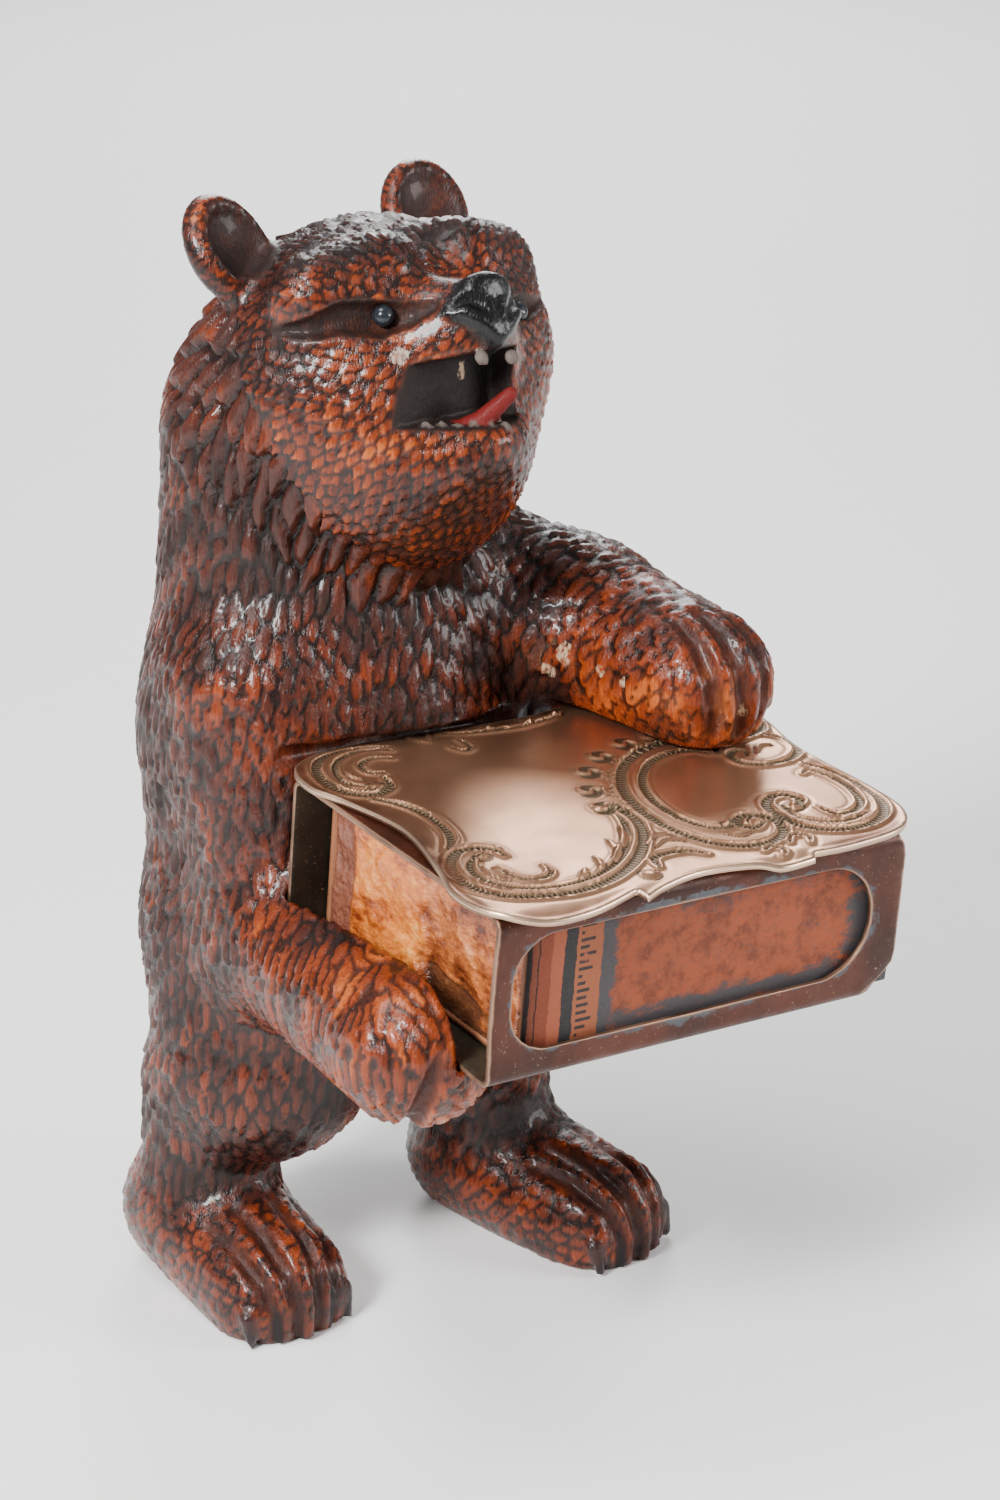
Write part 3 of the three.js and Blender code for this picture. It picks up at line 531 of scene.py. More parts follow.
def surface_mesh(field, low, high, step, block=8):
    """The field's surface between two corners, from the grid's blocks that lie near it."""
    blocks = np.ceil((high - low) / step / block).astype(int)
    grid = np.stack(np.meshgrid(*[np.arange(n) for n in blocks], indexing="ij"), -1).reshape(-1, 3)
    centres = real_place((grid * block + (block - 1) / 2) * step + low)
    values = field(centres.astype(np.float32))
    reach = step * block * 0.9 + 1.0
    active = np.abs(values) < reach
    V = values.reshape(blocks).astype(np.float32)
    for axis in range(3):
        V = np.repeat(V, block, axis)
    inner = np.stack(np.meshgrid(*[np.arange(block)] * 3, indexing="ij"), -1).reshape(-1, 3)
    nodes = (grid[active][:, None] * block + inner).reshape(-1, 3)
    out = np.empty(len(nodes), np.float32)
    for start in range(0, len(nodes), AT_ONCE):
        part = slice(start, start + AT_ONCE)
        out[part] = field(real_place(nodes[part] * step + low).astype(np.float32))
    V[tuple(nodes.T)] = out
    corners, quads = nets(V)
    return real_place(corners * step + low), quads


def nets(V):
    """One corner in each cell that the surface crosses, and a quad for each crossed edge."""
    inside = V < 0
    n = np.array(V.shape)
    total = np.zeros(n - 1, np.int8)
    for corner in np.ndindex(2, 2, 2):
        total += inside[tuple(slice(c, m - 1 + c) for c, m in zip(corner, n))]
    active = (total > 0) & (total < 8)
    number = -np.ones(n - 1, np.int64)
    cells = np.argwhere(active)
    number[active] = np.arange(len(cells))
    place, hits = np.zeros((len(cells), 3)), np.zeros(len(cells))
    ways = np.eye(3, dtype=int)
    for axis in range(3):
        others = [a for a in range(3) if a != axis]
        for o, w in np.ndindex(2, 2):
            start = cells + ways[others[0]] * o + ways[others[1]] * w
            end = start + ways[axis]
            a, b = V[tuple(start.T)], V[tuple(end.T)]
            crossed = (a < 0) != (b < 0)
            t = np.where(crossed, a / np.where(crossed, a - b, 1), 0)
            place += np.where(crossed[:, None], start + t[:, None] * ways[axis], 0)
            hits += crossed
    quads = []
    for axis in range(3):
        others = [a for a in range(3) if a != axis]
        first, second = [slice(None)] * 3, [slice(None)] * 3
        first[axis], second[axis] = slice(0, n[axis] - 1), slice(1, n[axis])
        a, b = inside[tuple(first)], inside[tuple(second)]
        edges = np.argwhere(a != b)
        fits = np.ones(len(edges), bool)
        for o in others:
            fits &= (edges[:, o] > 0) & (edges[:, o] < n[o] - 1)
        edges = edges[fits]
        u, v = ways[others]
        round_edge = ((0, 0), (1, 0), (1, 1), (0, 1))
        quad = np.stack([number[tuple((edges - u * i - v * j).T)] for i, j in round_edge], -1)
        flip = a[tuple(edges.T)]
        if axis != 1:
            flip = ~flip
        quad[flip] = quad[flip][:, ::-1]
        quads.append(quad)
    return place / hits[:, None], np.concatenate(quads)


def mesh_object(name, corners, faces, materials, rounded=True):
    """A mesh from corners in the bear's own frame, in millimetres."""
    mesh = bpy.data.meshes.new(name)
    mesh.vertices.add(len(corners))
    mesh.vertices.foreach_set("co", ((corners + SHIFT) * MM).astype(np.float32).ravel())
    sides = faces.shape[1]
    mesh.loops.add(faces.size)
    mesh.loops.foreach_set("vertex_index", faces.astype(np.int32).ravel())
    mesh.polygons.add(len(faces))
    starts = np.arange(len(faces), dtype=np.int32) * sides
    mesh.polygons.foreach_set("loop_start", starts)
    mesh.polygons.foreach_set("loop_total", np.full(len(faces), sides, np.int32))
    mesh.update(calc_edges=True)
    mesh.validate()
    mesh.polygons.foreach_set("use_smooth", np.full(len(mesh.polygons), rounded))
    obj = bpy.data.objects.new(name, mesh)
    bpy.context.scene.collection.objects.link(obj)
    for material in materials:
        mesh.materials.append(material)
    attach(obj, "root")
    return obj


def store(obj, **values):
    """Keeps a number at each corner, for the finish to use."""
    for name, value in values.items():
        layer = obj.data.attributes.new(name, "FLOAT", "POINT")
        layer.data.foreach_set("value", value.astype(np.float32))


def holder_corners(places):
    return places @ HOLDER_TURN.T + HOLDER_ORIGIN


def grid_faces(rows, columns, first=0, around=False):
    """Quads between the rows and columns of a grid of corners."""
    across = columns if around else columns - 1
    i, j = (n.ravel() for n in np.meshgrid(np.arange(rows - 1), np.arange(across), indexing="ij"))
    k = (j + 1) % columns
    upper, lower = i * columns, (i + 1) * columns
    return first + np.stack([upper + j, upper + k, lower + k, lower + j], -1)


def face_outwards(obj, close=False):
    """Joins corners at one place, or closes the open ends, and turns every face outwards."""
    work = bmesh.new()
    work.from_mesh(obj.data)
    if close:
        bmesh.ops.holes_fill(work, edges=[e for e in work.edges if e.is_boundary], sides=0)
    else:
        bmesh.ops.remove_doubles(work, verts=work.verts, dist=0.02 * MM)
    bmesh.ops.recalc_face_normals(work, faces=work.faces)
    work.to_mesh(obj.data)
    work.free()


# Fur

TURN = 6.283
WAVES = 7


def low_noise(p, seed, scale):
    """Smooth noise from a few waves, mostly from -1 to 1."""
    rng = np.random.default_rng(seed)
    total = np.zeros(len(p))
    for _ in range(WAVES):
        direction = rng.normal(size=p.shape[1])
        direction /= norm(direction)
        total += np.sin((p @ direction) / scale * rng.uniform(0.6, 1.6) * TURN + rng.uniform(0, TURN))
    return total / (WAVES / 2)


# Each kind of coat: the length, width and depth of its locks in millimetres, the share of
# a lock that the cut beside it takes, how worn its tops are, and how far its locks lie
# over each other
COATS = {
    "chest": (5.0, 1.8, 0.38, 0.5, 0.34, 0.3),
    "back": (5.8, 1.6, 0.36, 0.46, 0.32, 0.3),
    "ruff": (9.4, 2.4, 1.3, 0.55, 0.34, 0.2),
    "face": (2.4, 1.3, 0.28, 0.56, 0.48, 1.0),
    "forehead": (6.4, 0.95, 0.26, 0.5, 0.2, 0.1),
    "muzzle": (2.2, 1.1, 0.06, 0.4, 0.6, 1.0),
    "ear": (3.4, 1.0, 0.05, 0.14, 0.38, 0.2),
    "left_upper": (4.8, 1.6, 0.36, 0.46, 0.26, 0.3),
    "left_fore": (4.4, 1.5, 0.3, 0.42, 0.5, 0.5),
    "right_upper": (4.8, 1.6, 0.34, 0.42, 0.44, 0.3),
    "right_fore": (7.6, 1.7, 0.38, 0.32, 0.54, 0.4),
    "leg": (4.8, 1.6, 0.34, 0.44, 0.4, 0.35),
    "foot": (2.0, 2.2, 0.17, 0.17, 0.56, 0.4),
}
BLEND_REACH = 1.6

# The runs of the locks, and rough radii of the rounds that their rows lie on
DOWN = np.array([0, 0, -1.0])
AHEAD = np.array([0, -1.0, -0.2])
SLANTED = np.array([-0.38, 0.32, -1.0])
HAND_RUN = DOWN + [0.3, -0.3, 0]
NOSE_TIP = on_head(0, 150, 1)
BODY_ROUND, HEAD_ROUND, LIMB_ROUND = 20.5, 17.5, 8.5


def coat_shares(p, normal, m):
    """For each coat: how much of it there is at each point, and the run of its locks."""
    def beside(distance):
        return np.exp(-np.maximum(distance, -3) / BLEND_REACH)

    def all_along(direction):
        return np.tile(direction, (len(p), 1))

    q = m["head"]
    front = step_up(-normal[:, 1], 0.1, 0.6)
    ruff = 1 - step_up(np.abs(m["face"] - m["torso"]), 2, 6)
    ruff *= step_up(-q[:, 1], -75, -20) * (m["face"] < 9)
    torso, face = beside(m["torso"]), beside(m["face"] - 1.0)
    forehead = step_up(q[:, 2], 50, 85) * step_up(q[:, 1], -60, 0)
    muzzle = 1 - step_up(m["muzzle"], 0.4, 2.6)
    from_nose = p - NOSE_TIP
    shares = {
        "chest": (torso * front, all_along(DOWN)),
        "back": (torso * (1 - front), all_along(DOWN)),
        "ruff": ((torso + face) * ruff * 2, all_along(DOWN) + 0.02 * from_nose),
        "face": (face * (1 - ruff) * (1 - forehead) * (1 - muzzle), from_nose),
        "forehead": (face * (1 - ruff) * forehead * (1 - muzzle), from_nose),
        "muzzle": (face * muzzle, from_nose),
        "ear": (beside(m["ear"]) * 2, -from_nose * [0.3, 0.3, -1]),
        "left_upper": (beside(m["left_upper"]), all_along(SLANTED)),
        "left_fore": (beside(m["left_fore"]), all_along(SLANTED)),
        "right_upper": (beside(m["right_upper"]), all_along(RIGHT_ELBOW - RIGHT_SHOULDER)),
        "right_fore": (beside(m["right_fore"]), all_along(HAND_RUN)),
        "leg": (beside(np.minimum(m["left_leg"], m["right_leg"])), all_along(DOWN)),
    }
    top = step_up(normal[:, 2], 0.1, 0.6)[:, None]
    foot = beside(np.minimum(m["left_foot"], m["right_foot"]))
    shares["foot"] = (foot, AHEAD * top + DOWN * (1 - top))
    return shares


def unit(v):
    return v / (norm(v)[..., None] + 1e-9)


def coat_at(p, normal, m):
    """The run of the locks, their sizes and shares at each point."""
    shares = coat_shares(p, normal, m)
    weights = np.stack([weight for weight, _ in shares.values()], -1) ** 2
    weights /= weights.sum(-1, keepdims=True) + 1e-12
    run = sum(w[:, None] * unit(r) for w, (_, r) in zip(weights.T, shares.values()))
    kinds = np.array([COATS[name] for name in shares])
    length, width, depth = np.exp(weights @ np.log(kinds[:, :3])).T
    cut, worn, lap = (weights @ kinds[:, 3:]).T
    run = unit(run - (run * normal).sum(-1)[:, None] * normal)
    angle = (0.3 * low_noise(p, 5, 16.0) + 0.14 * low_noise(p, 6, 5.0))[:, None]
    run = run * np.cos(angle) + np.cross(run, normal) * np.sin(angle)
    return run, np.cross(run, normal), length, width, depth, cut, worn, lap


# How pointed the locks' ends are, how near each other their centres may lie, and how far
# a corner may be from its place in a row, as shares of a lock's size
POINTED = 1.2
LOCK_SPACING = 0.8
ROW_MISS = 0.35


def spread(along, aside):
    """A distance whose level lines come to a point at both ends, as the locks do."""
    return (np.abs(along) ** POINTED + np.abs(aside) ** POINTED) ** (1 / POINTED)


def round_axis(p, start, end):
    """How far along an axis points are, and their way round it, in millimetres."""
    axis = unit(end - start)
    side = unit(np.cross(axis, [0.3, 1, 0.2]))
    away = p - start
    angle = np.arctan2(away @ np.cross(axis, side), away @ side)
    return away @ axis, angle * LIMB_ROUND


def row_places(p, normal, m):
    """The corners that lie nearest the places of staggered rows, as a carver cuts them."""
    shares = coat_shares(p, normal, m)
    kind = np.argmax([weight for weight, _ in shares.values()], 0)
    q = m["head"] * SHARE
    reach = norm(q) + 1e-6
    nose = unit(np.array([-0.02, 1, -0.05]))
    polar = np.arccos(np.clip(q @ nose / reach, -1, 1)) * HEAD_ROUND
    round_nose = np.arctan2(q[:, 2] + 0.6, q[:, 0] + 0.3)
    facing = np.sign(normal @ np.array([-0.64, -0.77, 0]))
    axes = {"leg": (at(-129, 42, 68), at(-91, 0, 220)), "right_upper": (RIGHT_SHOULDER, RIGHT_ELBOW)}
    chosen = []
    for number, name in enumerate(shares):
        here = np.flatnonzero(kind == number)
        length, width = COATS[name][:2]
        x = p[here]
        if name in ("chest", "back", "ruff"):
            a, b = -x[:, 2], np.arctan2(x[:, 1], x[:, 0]) * BODY_ROUND
        elif name in ("face", "forehead"):
            a = polar[here]
            row = np.round(a / length * 2) * length / 2
            circle = 2 * np.pi * HEAD_ROUND * np.abs(np.sin(row / HEAD_ROUND)) + 1e-6
            locks_round = np.maximum(np.round(circle / width), 1)
            b = round_nose[here] / (2 * np.pi) * locks_round * width
        elif name in ("left_upper", "left_fore"):
            a, b = x @ unit(SLANTED), (x - LEFT_SHOULDER) @ unit(LEFT_PAW - LEFT_SHOULDER)
        elif name == "right_fore":
            a, b = x @ unit(HAND_RUN), x @ unit(RIGHT_HAND - RIGHT_ELBOW)
        elif name in axes:
            a, b = round_axis(x, *axes[name])
        else:
            a, b = -x[:, 1], x[:, 0] + 0.6 * x[:, 2]
        a = (a + 0.22 * low_noise(x, 41, 9.0)) / (length / 2)
        b = b / width + 0.12 * low_noise(x, 42, 7.0)
        i = np.round(a)
        stagger = 0.5 * (i % 2)
        j = np.round(b - stagger)
        miss = np.abs(a - i) + np.abs(b - stagger - j)
        order = np.argsort(miss)
        cell = np.stack([i, j, facing[here]], -1)[order]
        _, first = np.unique(cell, axis=0, return_index=True)
        chosen.append(here[order[first]][miss[order[first]] < ROW_MISS])
    return np.concatenate(chosen)


def choose_locks(p, normal, m, run, across, length, width):
    """The locks' centres: rows first, then more wherever there is room."""
    order = np.random.default_rng(11).permutation(len(p))
    order = np.concatenate([row_places(p, normal, m), order])
    cell = 2.0
    reach = np.minimum(np.ceil(length / cell), 4).astype(int)
    keys = np.floor(p / cell).astype(int)
    taken, chosen = {}, []
    for i in order:
        k, n = keys[i], reach[i]
        near = []
        for a, b, c in product(*(range(c - n, c + n + 1) for c in k)):
            near.extend(taken.get((a, b, c), ()))
        if near:
            j = np.array(near)
            away = p[i] - p[j]
            L, W = (length[j] + length[i]) / 2, (width[j] + width[i]) / 2
            u, v, w = (away @ run[i]) / L, (away @ across[i]) / W, (away @ normal[i]) / W
            if np.sqrt(spread(u, v) ** 2 + 0.5 * w * w).min() < LOCK_SPACING:
                continue
        chosen.append(i)
        taken.setdefault(tuple(k), []).append(i)
    return np.array(chosen)


def near_locks(p, centres, count=20):
    tree = kdtree.KDTree(len(centres))
    for i, c in enumerate(centres):
        tree.insert(c, i)
    tree.balance()
    return np.array([[hit[1] for hit in tree.find_n(q, count)] for q in p])


class Locks:
    """The locks of the coat: where each one lies, its run and its size."""

    def __init__(self, p, normal, m, run, across, length, width):
        chosen = choose_locks(p, normal, m, run, across, length, width)
        lean = np.random.default_rng(7).normal(0, 0.13, len(chosen))[:, None]
        self.place = p[chosen]
        self.normal = normal[chosen]
        self.run = run[chosen] * np.cos(lean) + across[chosen] * np.sin(lean)
        self.across = np.cross(self.run, self.normal)
        self.length, self.width = length[chosen], width[chosen]
        self.near = near_locks(p, self.place)

    def two_nearest(self, p):
        """The two nearest locks of each point. The locks come to a point at both ends."""
        near = self.near
        away = p[:, None] - self.place[near]
        u = (away * self.run[near]).sum(-1) / self.length[near]
        v = (away * self.across[near]).sum(-1) / self.width[near]
        w = (away * self.normal[near]).sum(-1) / self.width[near]
        f = np.sqrt(spread(u, v) ** 2 + 0.5 * w * w)
        rows = np.arange(len(p))
        order = np.argsort(f, axis=1)[:, :2]
        return [(near[rows, k], u[rows, k], v[rows, k], f[rows, k]) for k in order.T]

    def pull(self, lock, u, v, f):
        """Which way a point's distance from its lock grows."""
        du = np.abs(u) ** (POINTED - 1) * np.sign(u) * f ** (1 - POINTED) / self.length[lock]
        dv = np.abs(v) ** (POINTED - 1) * np.sign(v) * f ** (1 - POINTED) / self.width[lock]
        return du[:, None] * self.run[lock] + dv[:, None] * self.across[lock]

    def to_cuts(self, p, normal, reach):
        """Moves the points that are near a cut onto its middle."""
        q = p.copy()
        for _ in range(3):
            nearest, second = self.two_nearest(q)
            g = self.pull(*second) - self.pull(*nearest)
            g -= (g * normal).sum(-1)[:, None] * normal
            move = -(second[3] - nearest[3])[:, None] * g / ((g * g).sum(-1)[:, None] + 1e-9)
            close = norm(q + move - p) < reach
            q[close] += move[close]
        return q, close


def unfolded(q, base, normal, faces):
    """The corners, with those put back whose faces have turned over."""
    for share in (0.5, 0.5, 0, 0):
        a, b, c, d = (q[faces[:, i]] for i in range(4))
        out = normal[faces].sum(1)
        turned_over = np.zeros(len(faces), bool)
        for one, two, three in ((a, b, d), (b, c, a), (c, d, b), (d, a, c)):
            turned_over |= (np.cross(two - one, three - one) * out).sum(-1) < 0
        corners = np.unique(faces[turned_over])
        q[corners] = base[corners] + share * (q[corners] - base[corners])
    return q


def carve_fur(p, normal, m, faces, reach, depth_share):
    """The corners with the coat carved in, and what the finish needs at each."""
    run, across, length, width, depth, cut, worn, lap = coat_at(p, normal, m)
    locks = Locks(p, normal, m, run, across, length, width)
    q, at_cut = locks.to_cuts(p, normal, reach)
    (lock, along, _, f), (_, _, _, g) = locks.two_nearest(q)
    gap = g - f
    gap[at_cut & (gap < 0.08)] = 0
    # On lapped coats the cut is kept full only at each lock's upstream end, under the tip of the lock
    # above: carved there, and darkened as a painted shadow of that tip
    side = 1 - 0.7 * lap * step_up(along, -0.15, 0.1)
    crest = step_up(np.minimum(gap / (cut * side), (0.8 - f) / (0.9 * cut)), -0.15, 1)
    along = np.clip(along, -0.5, 0.5)
    height = 1.2 * crest - 0.85 + 1.1 * along * crest
    height = depth * (height + lap * (1.8 * along * crest + 0.4 * crest - 0.6 - height))
    # Lapped locks are lighter towards their raised tips: wear, with painted light on the tips
    worn = worn + 0.55 * lap * along
    smooth_parts = [m["nose"], m["tongue"], m["tooth"], m["mouth"] + 0.2, m["claw"]]
    furry = step_up(np.minimum.reduce(smooth_parts), 0.1, 0.7)
    furry *= step_up(m["space"], 0.15, 0.8) * step_up(m["hollow"], 0.0, 0.4)
    furry *= step_up(m["slit"], -0.1, 0.8) * step_up(m["groove"], -0.1, 0.8)
    furry *= step_up(p[:, 2], 0.15, 1.0)
    lift = normal * (depth_share * height * furry)[:, None]
    q = unfolded(q + lift, p + lift, normal, faces)
    shade = np.random.default_rng(3).uniform(size=len(locks.place))[lock]
    return q, crest * furry + (1 - furry) * 0.6, worn, shade


# Places of old chips and pale scuffs, with their sizes, in thousandths
CHIPS = (
    ((120, -161, 589), (10, 9, 13)),
    ((115, -145, 570), (9, 8, 9)),
    ((125, -201, 584), (5, 6, 7)),
    ((130, -226, 580), (4, 5, 8)),
    ((192, -308, 562), (5, 6, 11)),
    ((-165, -16, 100), (4, 5, 7)),
    ((13, -154, 862), (7, 8, 9)),
)
SCRAPE = ((-49, -150, 885), (9, 9, 9))


def beside_any(p, spots):
    distance = np.minimum.reduce([ball(p, at(*place), size) for place, size in spots])
    return 1 - step_up(distance, -0.3, 0.5)


CHEEK, CHEEK_REACH = [95, 72, -55], 45.0


def wear(p, m, worn):
    """The wear: more on fingers, hand, ear rims and cheeks; darker round the ankles."""
    fingers = ball(p, LEFT_PAW - at(0, 0, 25), (95, 95, 45))
    hand = ball(p, RIGHT_HAND, (95, 95, 80))
    ankles = [ball(p, heel * 0.55 + toes * 0.45 + at(0, 0, 66), (52, 52, 26)) for heel, toes in FEET]
    rim = (m["ear"] < 0.4) * step_up(m["hollow"], 0.3, 0.9) * (1 - step_up(m["hollow"], 1.2, 2.4))
    worn = worn + 0.35 * (1 - step_up(fingers, -1, 4)) + 0.2 * (1 - step_up(hand, -1, 4)) + 0.3 * rim
    from_cheek = np.abs(m["head"] * [1, 0, 0]) + m["head"] * [0, 1, 1] - CHEEK
    worn = worn + 0.3 * np.exp(-(from_cheek ** 2).sum(-1) / (2 * CHEEK_REACH ** 2))
    return worn + 0.12 * low_noise(p, 21, 11.0) - 0.26 * (1 - step_up(np.minimum(*ankles), -2, 3))


def pooled_stain_and_painted_shade(m):
    """How dark the mouth, the eye slits, the ear hollows and the grooves are: stain pooled in them, with
    painted shade for the shadow inside.
    """
    return np.maximum.reduce([
        1 - step_up(m["mouth"], 0.05, 0.3),
        0.84 - 0.84 * step_up(m["slit"], 0.0, 0.45),
        0.55 - 0.55 * step_up(m["hollow"], 0.0, 0.45),
        0.88 - 0.88 * step_up(m["groove"], -0.15, 0.3),
    ])


def carve_bear(settings):
    """Carves the bear: its masses, face, fingers and toes, then its fur."""
    CARVED["slits"] = {s: slit_line(s) for s in SIDES}
    CARVED["grooves"] = groove_lines()
    low, high = at(-300, -460, -40) - 13, at(340, 260, 1060) + 13
    step = settings.mesh_step / MM
    p, faces = surface_mesh(detailed_bear, low, high, step)
    p = onto(detailed_bear, p, 2, 0.08)
    normal = slope(detailed_bear, p, 0.12)
    _, m = detailed_bear(p, True)
    away = norm(p - HEAD_CENTRE)
    finer = np.where(away < 60, 1 - FINENESS * np.tanh(away / FINE_RADIUS * 0.6), 1)
    q, crest, worn, shade = carve_fur(p, normal, m, faces, step * finer * 0.42, settings.fur_depth)
    q[:, 2] = np.maximum(q[:, 2], 0)
    obj = mesh_object("carved_bear", q, faces, [stained_wood(settings)])
    store(
        obj,
        crest=crest,
        worn=wear(p, m, worn),
        lock_shade=shade,
        nose_zone=1 - step_up(m["nose"], 0.05, 0.35),
        claw_zone=1 - step_up(m["claw"], -0.1, 0.3),
        # pooled stain with painted shade in the mouth, eye slits, ear hollows and grooves
        dark_zone=pooled_stain_and_painted_shade(m),
        tongue_zone=1 - step_up(m["tongue"], 0.02, 0.25),
        tooth_zone=1 - step_up(m["tooth"], 0.02, 0.2),
        chip_zone=beside_any(p, CHIPS),
        scrape_zone=beside_any(p, (SCRAPE,)),
    )
    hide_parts("bear")


BEAD_ROWS, BEAD_COLUMNS = 17, 28


def set_beads(settings):
    """The two eye beads, a little flattened in front."""
    finish = dark_glass(settings)
    for node in ("right_eye", "left_eye"):
        low, high = (np.array(corner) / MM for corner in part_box(node))
        middle, radius = (low + high) / 2 - SHIFT, (high - low).min() / 2
        angle = np.linspace(0.02, np.pi - 0.02, BEAD_ROWS)
        turn = np.arange(BEAD_COLUMNS) * 2 * np.pi / BEAD_COLUMNS
        t, a = np.meshgrid(angle, turn, indexing="ij")
        places = np.stack([np.sin(t) * np.cos(a), -np.cos(t), np.sin(t) * np.sin(a)], -1).reshape(-1, 3)
        places[:, 1] = np.maximum(places[:, 1], -0.93)
        corners = places @ HEAD_TURN.T * radius + middle
        faces = grid_faces(BEAD_ROWS, BEAD_COLUMNS, around=True)
        obj = mesh_object(node.replace("eye", "eye_bead"), corners, faces, [finish])
        face_outwards(obj, close=True)
        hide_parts(node)


# The holder's sleeve

BEND = 1.4
WINDOW_LOW, WINDOW_HIGH = np.array([2.3, 3.5]), np.array([49.5, 16.9])
WINDOW_CORNERS = (5.2, 6.4)
BEND_STEPS, WALL_STEPS = 7, (24, 10, 24)
RINGS = 6
RUN_COUNT = 73
EDGE_ROUND = 0.13


def sleeve_run(y, z):
    """Where the sheet starts and ends along the holder, at a place round its section."""
    front = 1 - step_up(y, 0, 3.5)
    low_corner = front * (1 - step_up(z, 0, 5.2))
    high_corner = front * step_up(z, 17.2, 19.5)
    end = 53.6 + 0.4 * (1 - front) - 4.2 * low_corner ** 1.5 - 0.9 * high_corner
    bottom = (z < BEND) * step_up(y, 2.8, 12) * (1 - step_up(y, 22, 39))
    start = 1.1 * bottom - 0.25 * np.sin(z / SLEEVE[2] * np.pi) * front
    return start, end


def on_bend(corner, angle):
    y, z, _ = corner
    return y + BEND * np.cos(np.radians(angle)), z + BEND * np.sin(np.radians(angle))


def section_places():
    """Places round the sleeve's section, from the front wall's top edge on over the top."""
    width, height = SLEEVE[1:]
    corners = (
        (BEND, height - BEND, 180), (width - BEND, height - BEND, 90),
        (width - BEND, BEND, 0), (BEND, BEND, -90),
    )
    places = []
    for n, corner in enumerate(corners):
        turn = corner[2]
        places += [on_bend(corner, angle) for angle in np.linspace(turn, turn - 90, BEND_STEPS)]
        if n < len(WALL_STEPS):
            following = corners[n + 1]
            first, last = np.array([places[-1], on_bend(following, following[2])])
            steps = np.linspace(0, 1, WALL_STEPS[n])[1:-1]
            places += [tuple(first + (last - first) * step) for step in steps]
    return np.array(places)


def window_edge(places):
    """The places on the window's edge that lie towards places on the front wall's edge."""
    middle, half = (WINDOW_LOW + WINDOW_HIGH) / 2, (WINDOW_HIGH - WINDOW_LOW) / 2
    away = places - middle
    near, far = np.zeros(len(away)), np.ones(len(away)) * 1.5
    for _ in range(40):
        t = (near + far) / 2
        q = np.abs(away * t[:, None])
        corner = np.where(away[:, 0] < 0, *WINDOW_CORNERS)
        r = q - (half - corner[:, None])
        inside = norm(np.maximum(r, 0)) + np.minimum(r.max(-1), 0) - corner < 0
        near, far = np.where(inside, t, near), np.where(inside, far, t)
    return middle + away * near[:, None]


def bend_sleeve(settings):
    """The sheet-metal sleeve: a bent tube with a window in its front wall."""
    section = section_places()
    start, end = sleeve_run(section[:, 0], section[:, 1])
    t = np.linspace(0, 1, RUN_COUNT)
    x = start[:, None] + (end - start)[:, None] * t
    across, up = (np.repeat(section[:, [axis]], RUN_COUNT, 1) for axis in (0, 1))
    tube = np.stack([x, across, up], -1)
    faces = [grid_faces(len(section), RUN_COUNT)]
    low_z, high_z = section[-1, 1], section[0, 1]
    sides = np.linspace(low_z, high_z, 14)[1:-1]
    first, last = sleeve_run(np.zeros(12), sides)
    outer = np.concatenate([
        np.stack([tube[0, :, 0], np.full(RUN_COUNT, high_z)], -1),
        np.stack([last[::-1], sides[::-1]], -1),
        np.stack([tube[-1, ::-1, 0], np.full(RUN_COUNT, low_z)], -1),
        np.stack([first, sides], -1),
    ])
    inner = window_edge(outer)
    share = np.linspace(0, 1, RINGS)[:, None, None] ** 1.3
    wall = inner * (1 - share) + outer * share
    wall = np.stack([wall[..., 0], np.zeros(wall.shape[:2]), wall[..., 1]], -1)
    faces.append(grid_faces(RINGS, len(outer), len(section) * RUN_COUNT, around=True))
    corners = holder_corners(np.concatenate([tube.reshape(-1, 3), wall.reshape(-1, 3)]))
    obj = mesh_object("match_sleeve_sheet", corners, np.concatenate(faces), browned_sheet(settings))
    from_window = norm(wall - wall[:1]).reshape(-1)
    from_end = np.minimum(x - start[:, None], end[:, None] - x).ravel()
    wall_start, wall_end = sleeve_run(wall[..., 1].ravel(), wall[..., 2].ravel())
    wall_x = wall[..., 0].ravel()
    wall_edge = np.minimum(wall_x - wall_start, wall_end - wall_x)
    store(
        obj,
        from_window=np.concatenate([np.full(len(from_end), 9.0), from_window]),
        from_edge=np.concatenate([from_end, np.minimum(wall_edge, from_window)]),
    )
    face_outwards(obj)
    sheet = obj.modifiers.new("sheet", "SOLIDIFY")
    sheet.thickness = SHEET * MM
    sheet.offset = -1
    sheet.material_offset = 1
    sheet.material_offset_rim = 2
    edge = obj.modifiers.new("worn_edges", "BEVEL")
    edge.width = EDGE_ROUND * MM
    edge.segments = 2
    edge.limit_method = "ANGLE"
    edge.angle_limit = np.radians(50)
    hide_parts("match_sleeve")


# The holder's embossed plate

PLATE_SIZE = np.array([60.0, 48.7])
PLATE_MIDDLE = np.array([SLEEVE[0] / 2 + 1.4, SLEEVE[1] / 2 + 0.8])
PLATE_FRAME = (
    (-0.4, -0.91), (-0.62, -0.985), (-0.83, -0.98), (-0.97, -0.83), (-1, -0.6), (-0.94, -0.36),
    (-0.875, 0.03), (-0.93, 0.4), (-0.98, 0.62), (-0.93, 0.83), (-0.69, 1), (-0.36, 0.98),
    (0.08, 0.92), (0.36, 0.975), (0.7, 1), (0.94, 0.86), (1, 0.5), (0.92, 0.07), (0.95, -0.4),
    (0.93, -0.68), (0.8, -0.88), (0.56, -0.93), (0.37, -0.925),
)
PLATE_BUMP = (
    (0.35, -0.965), (0.2, -0.975), (0.11, -0.915), (-0.1, -0.885), (-0.28, -0.925), (-0.385, -0.975),
)
PLATE_GRID = 0.255


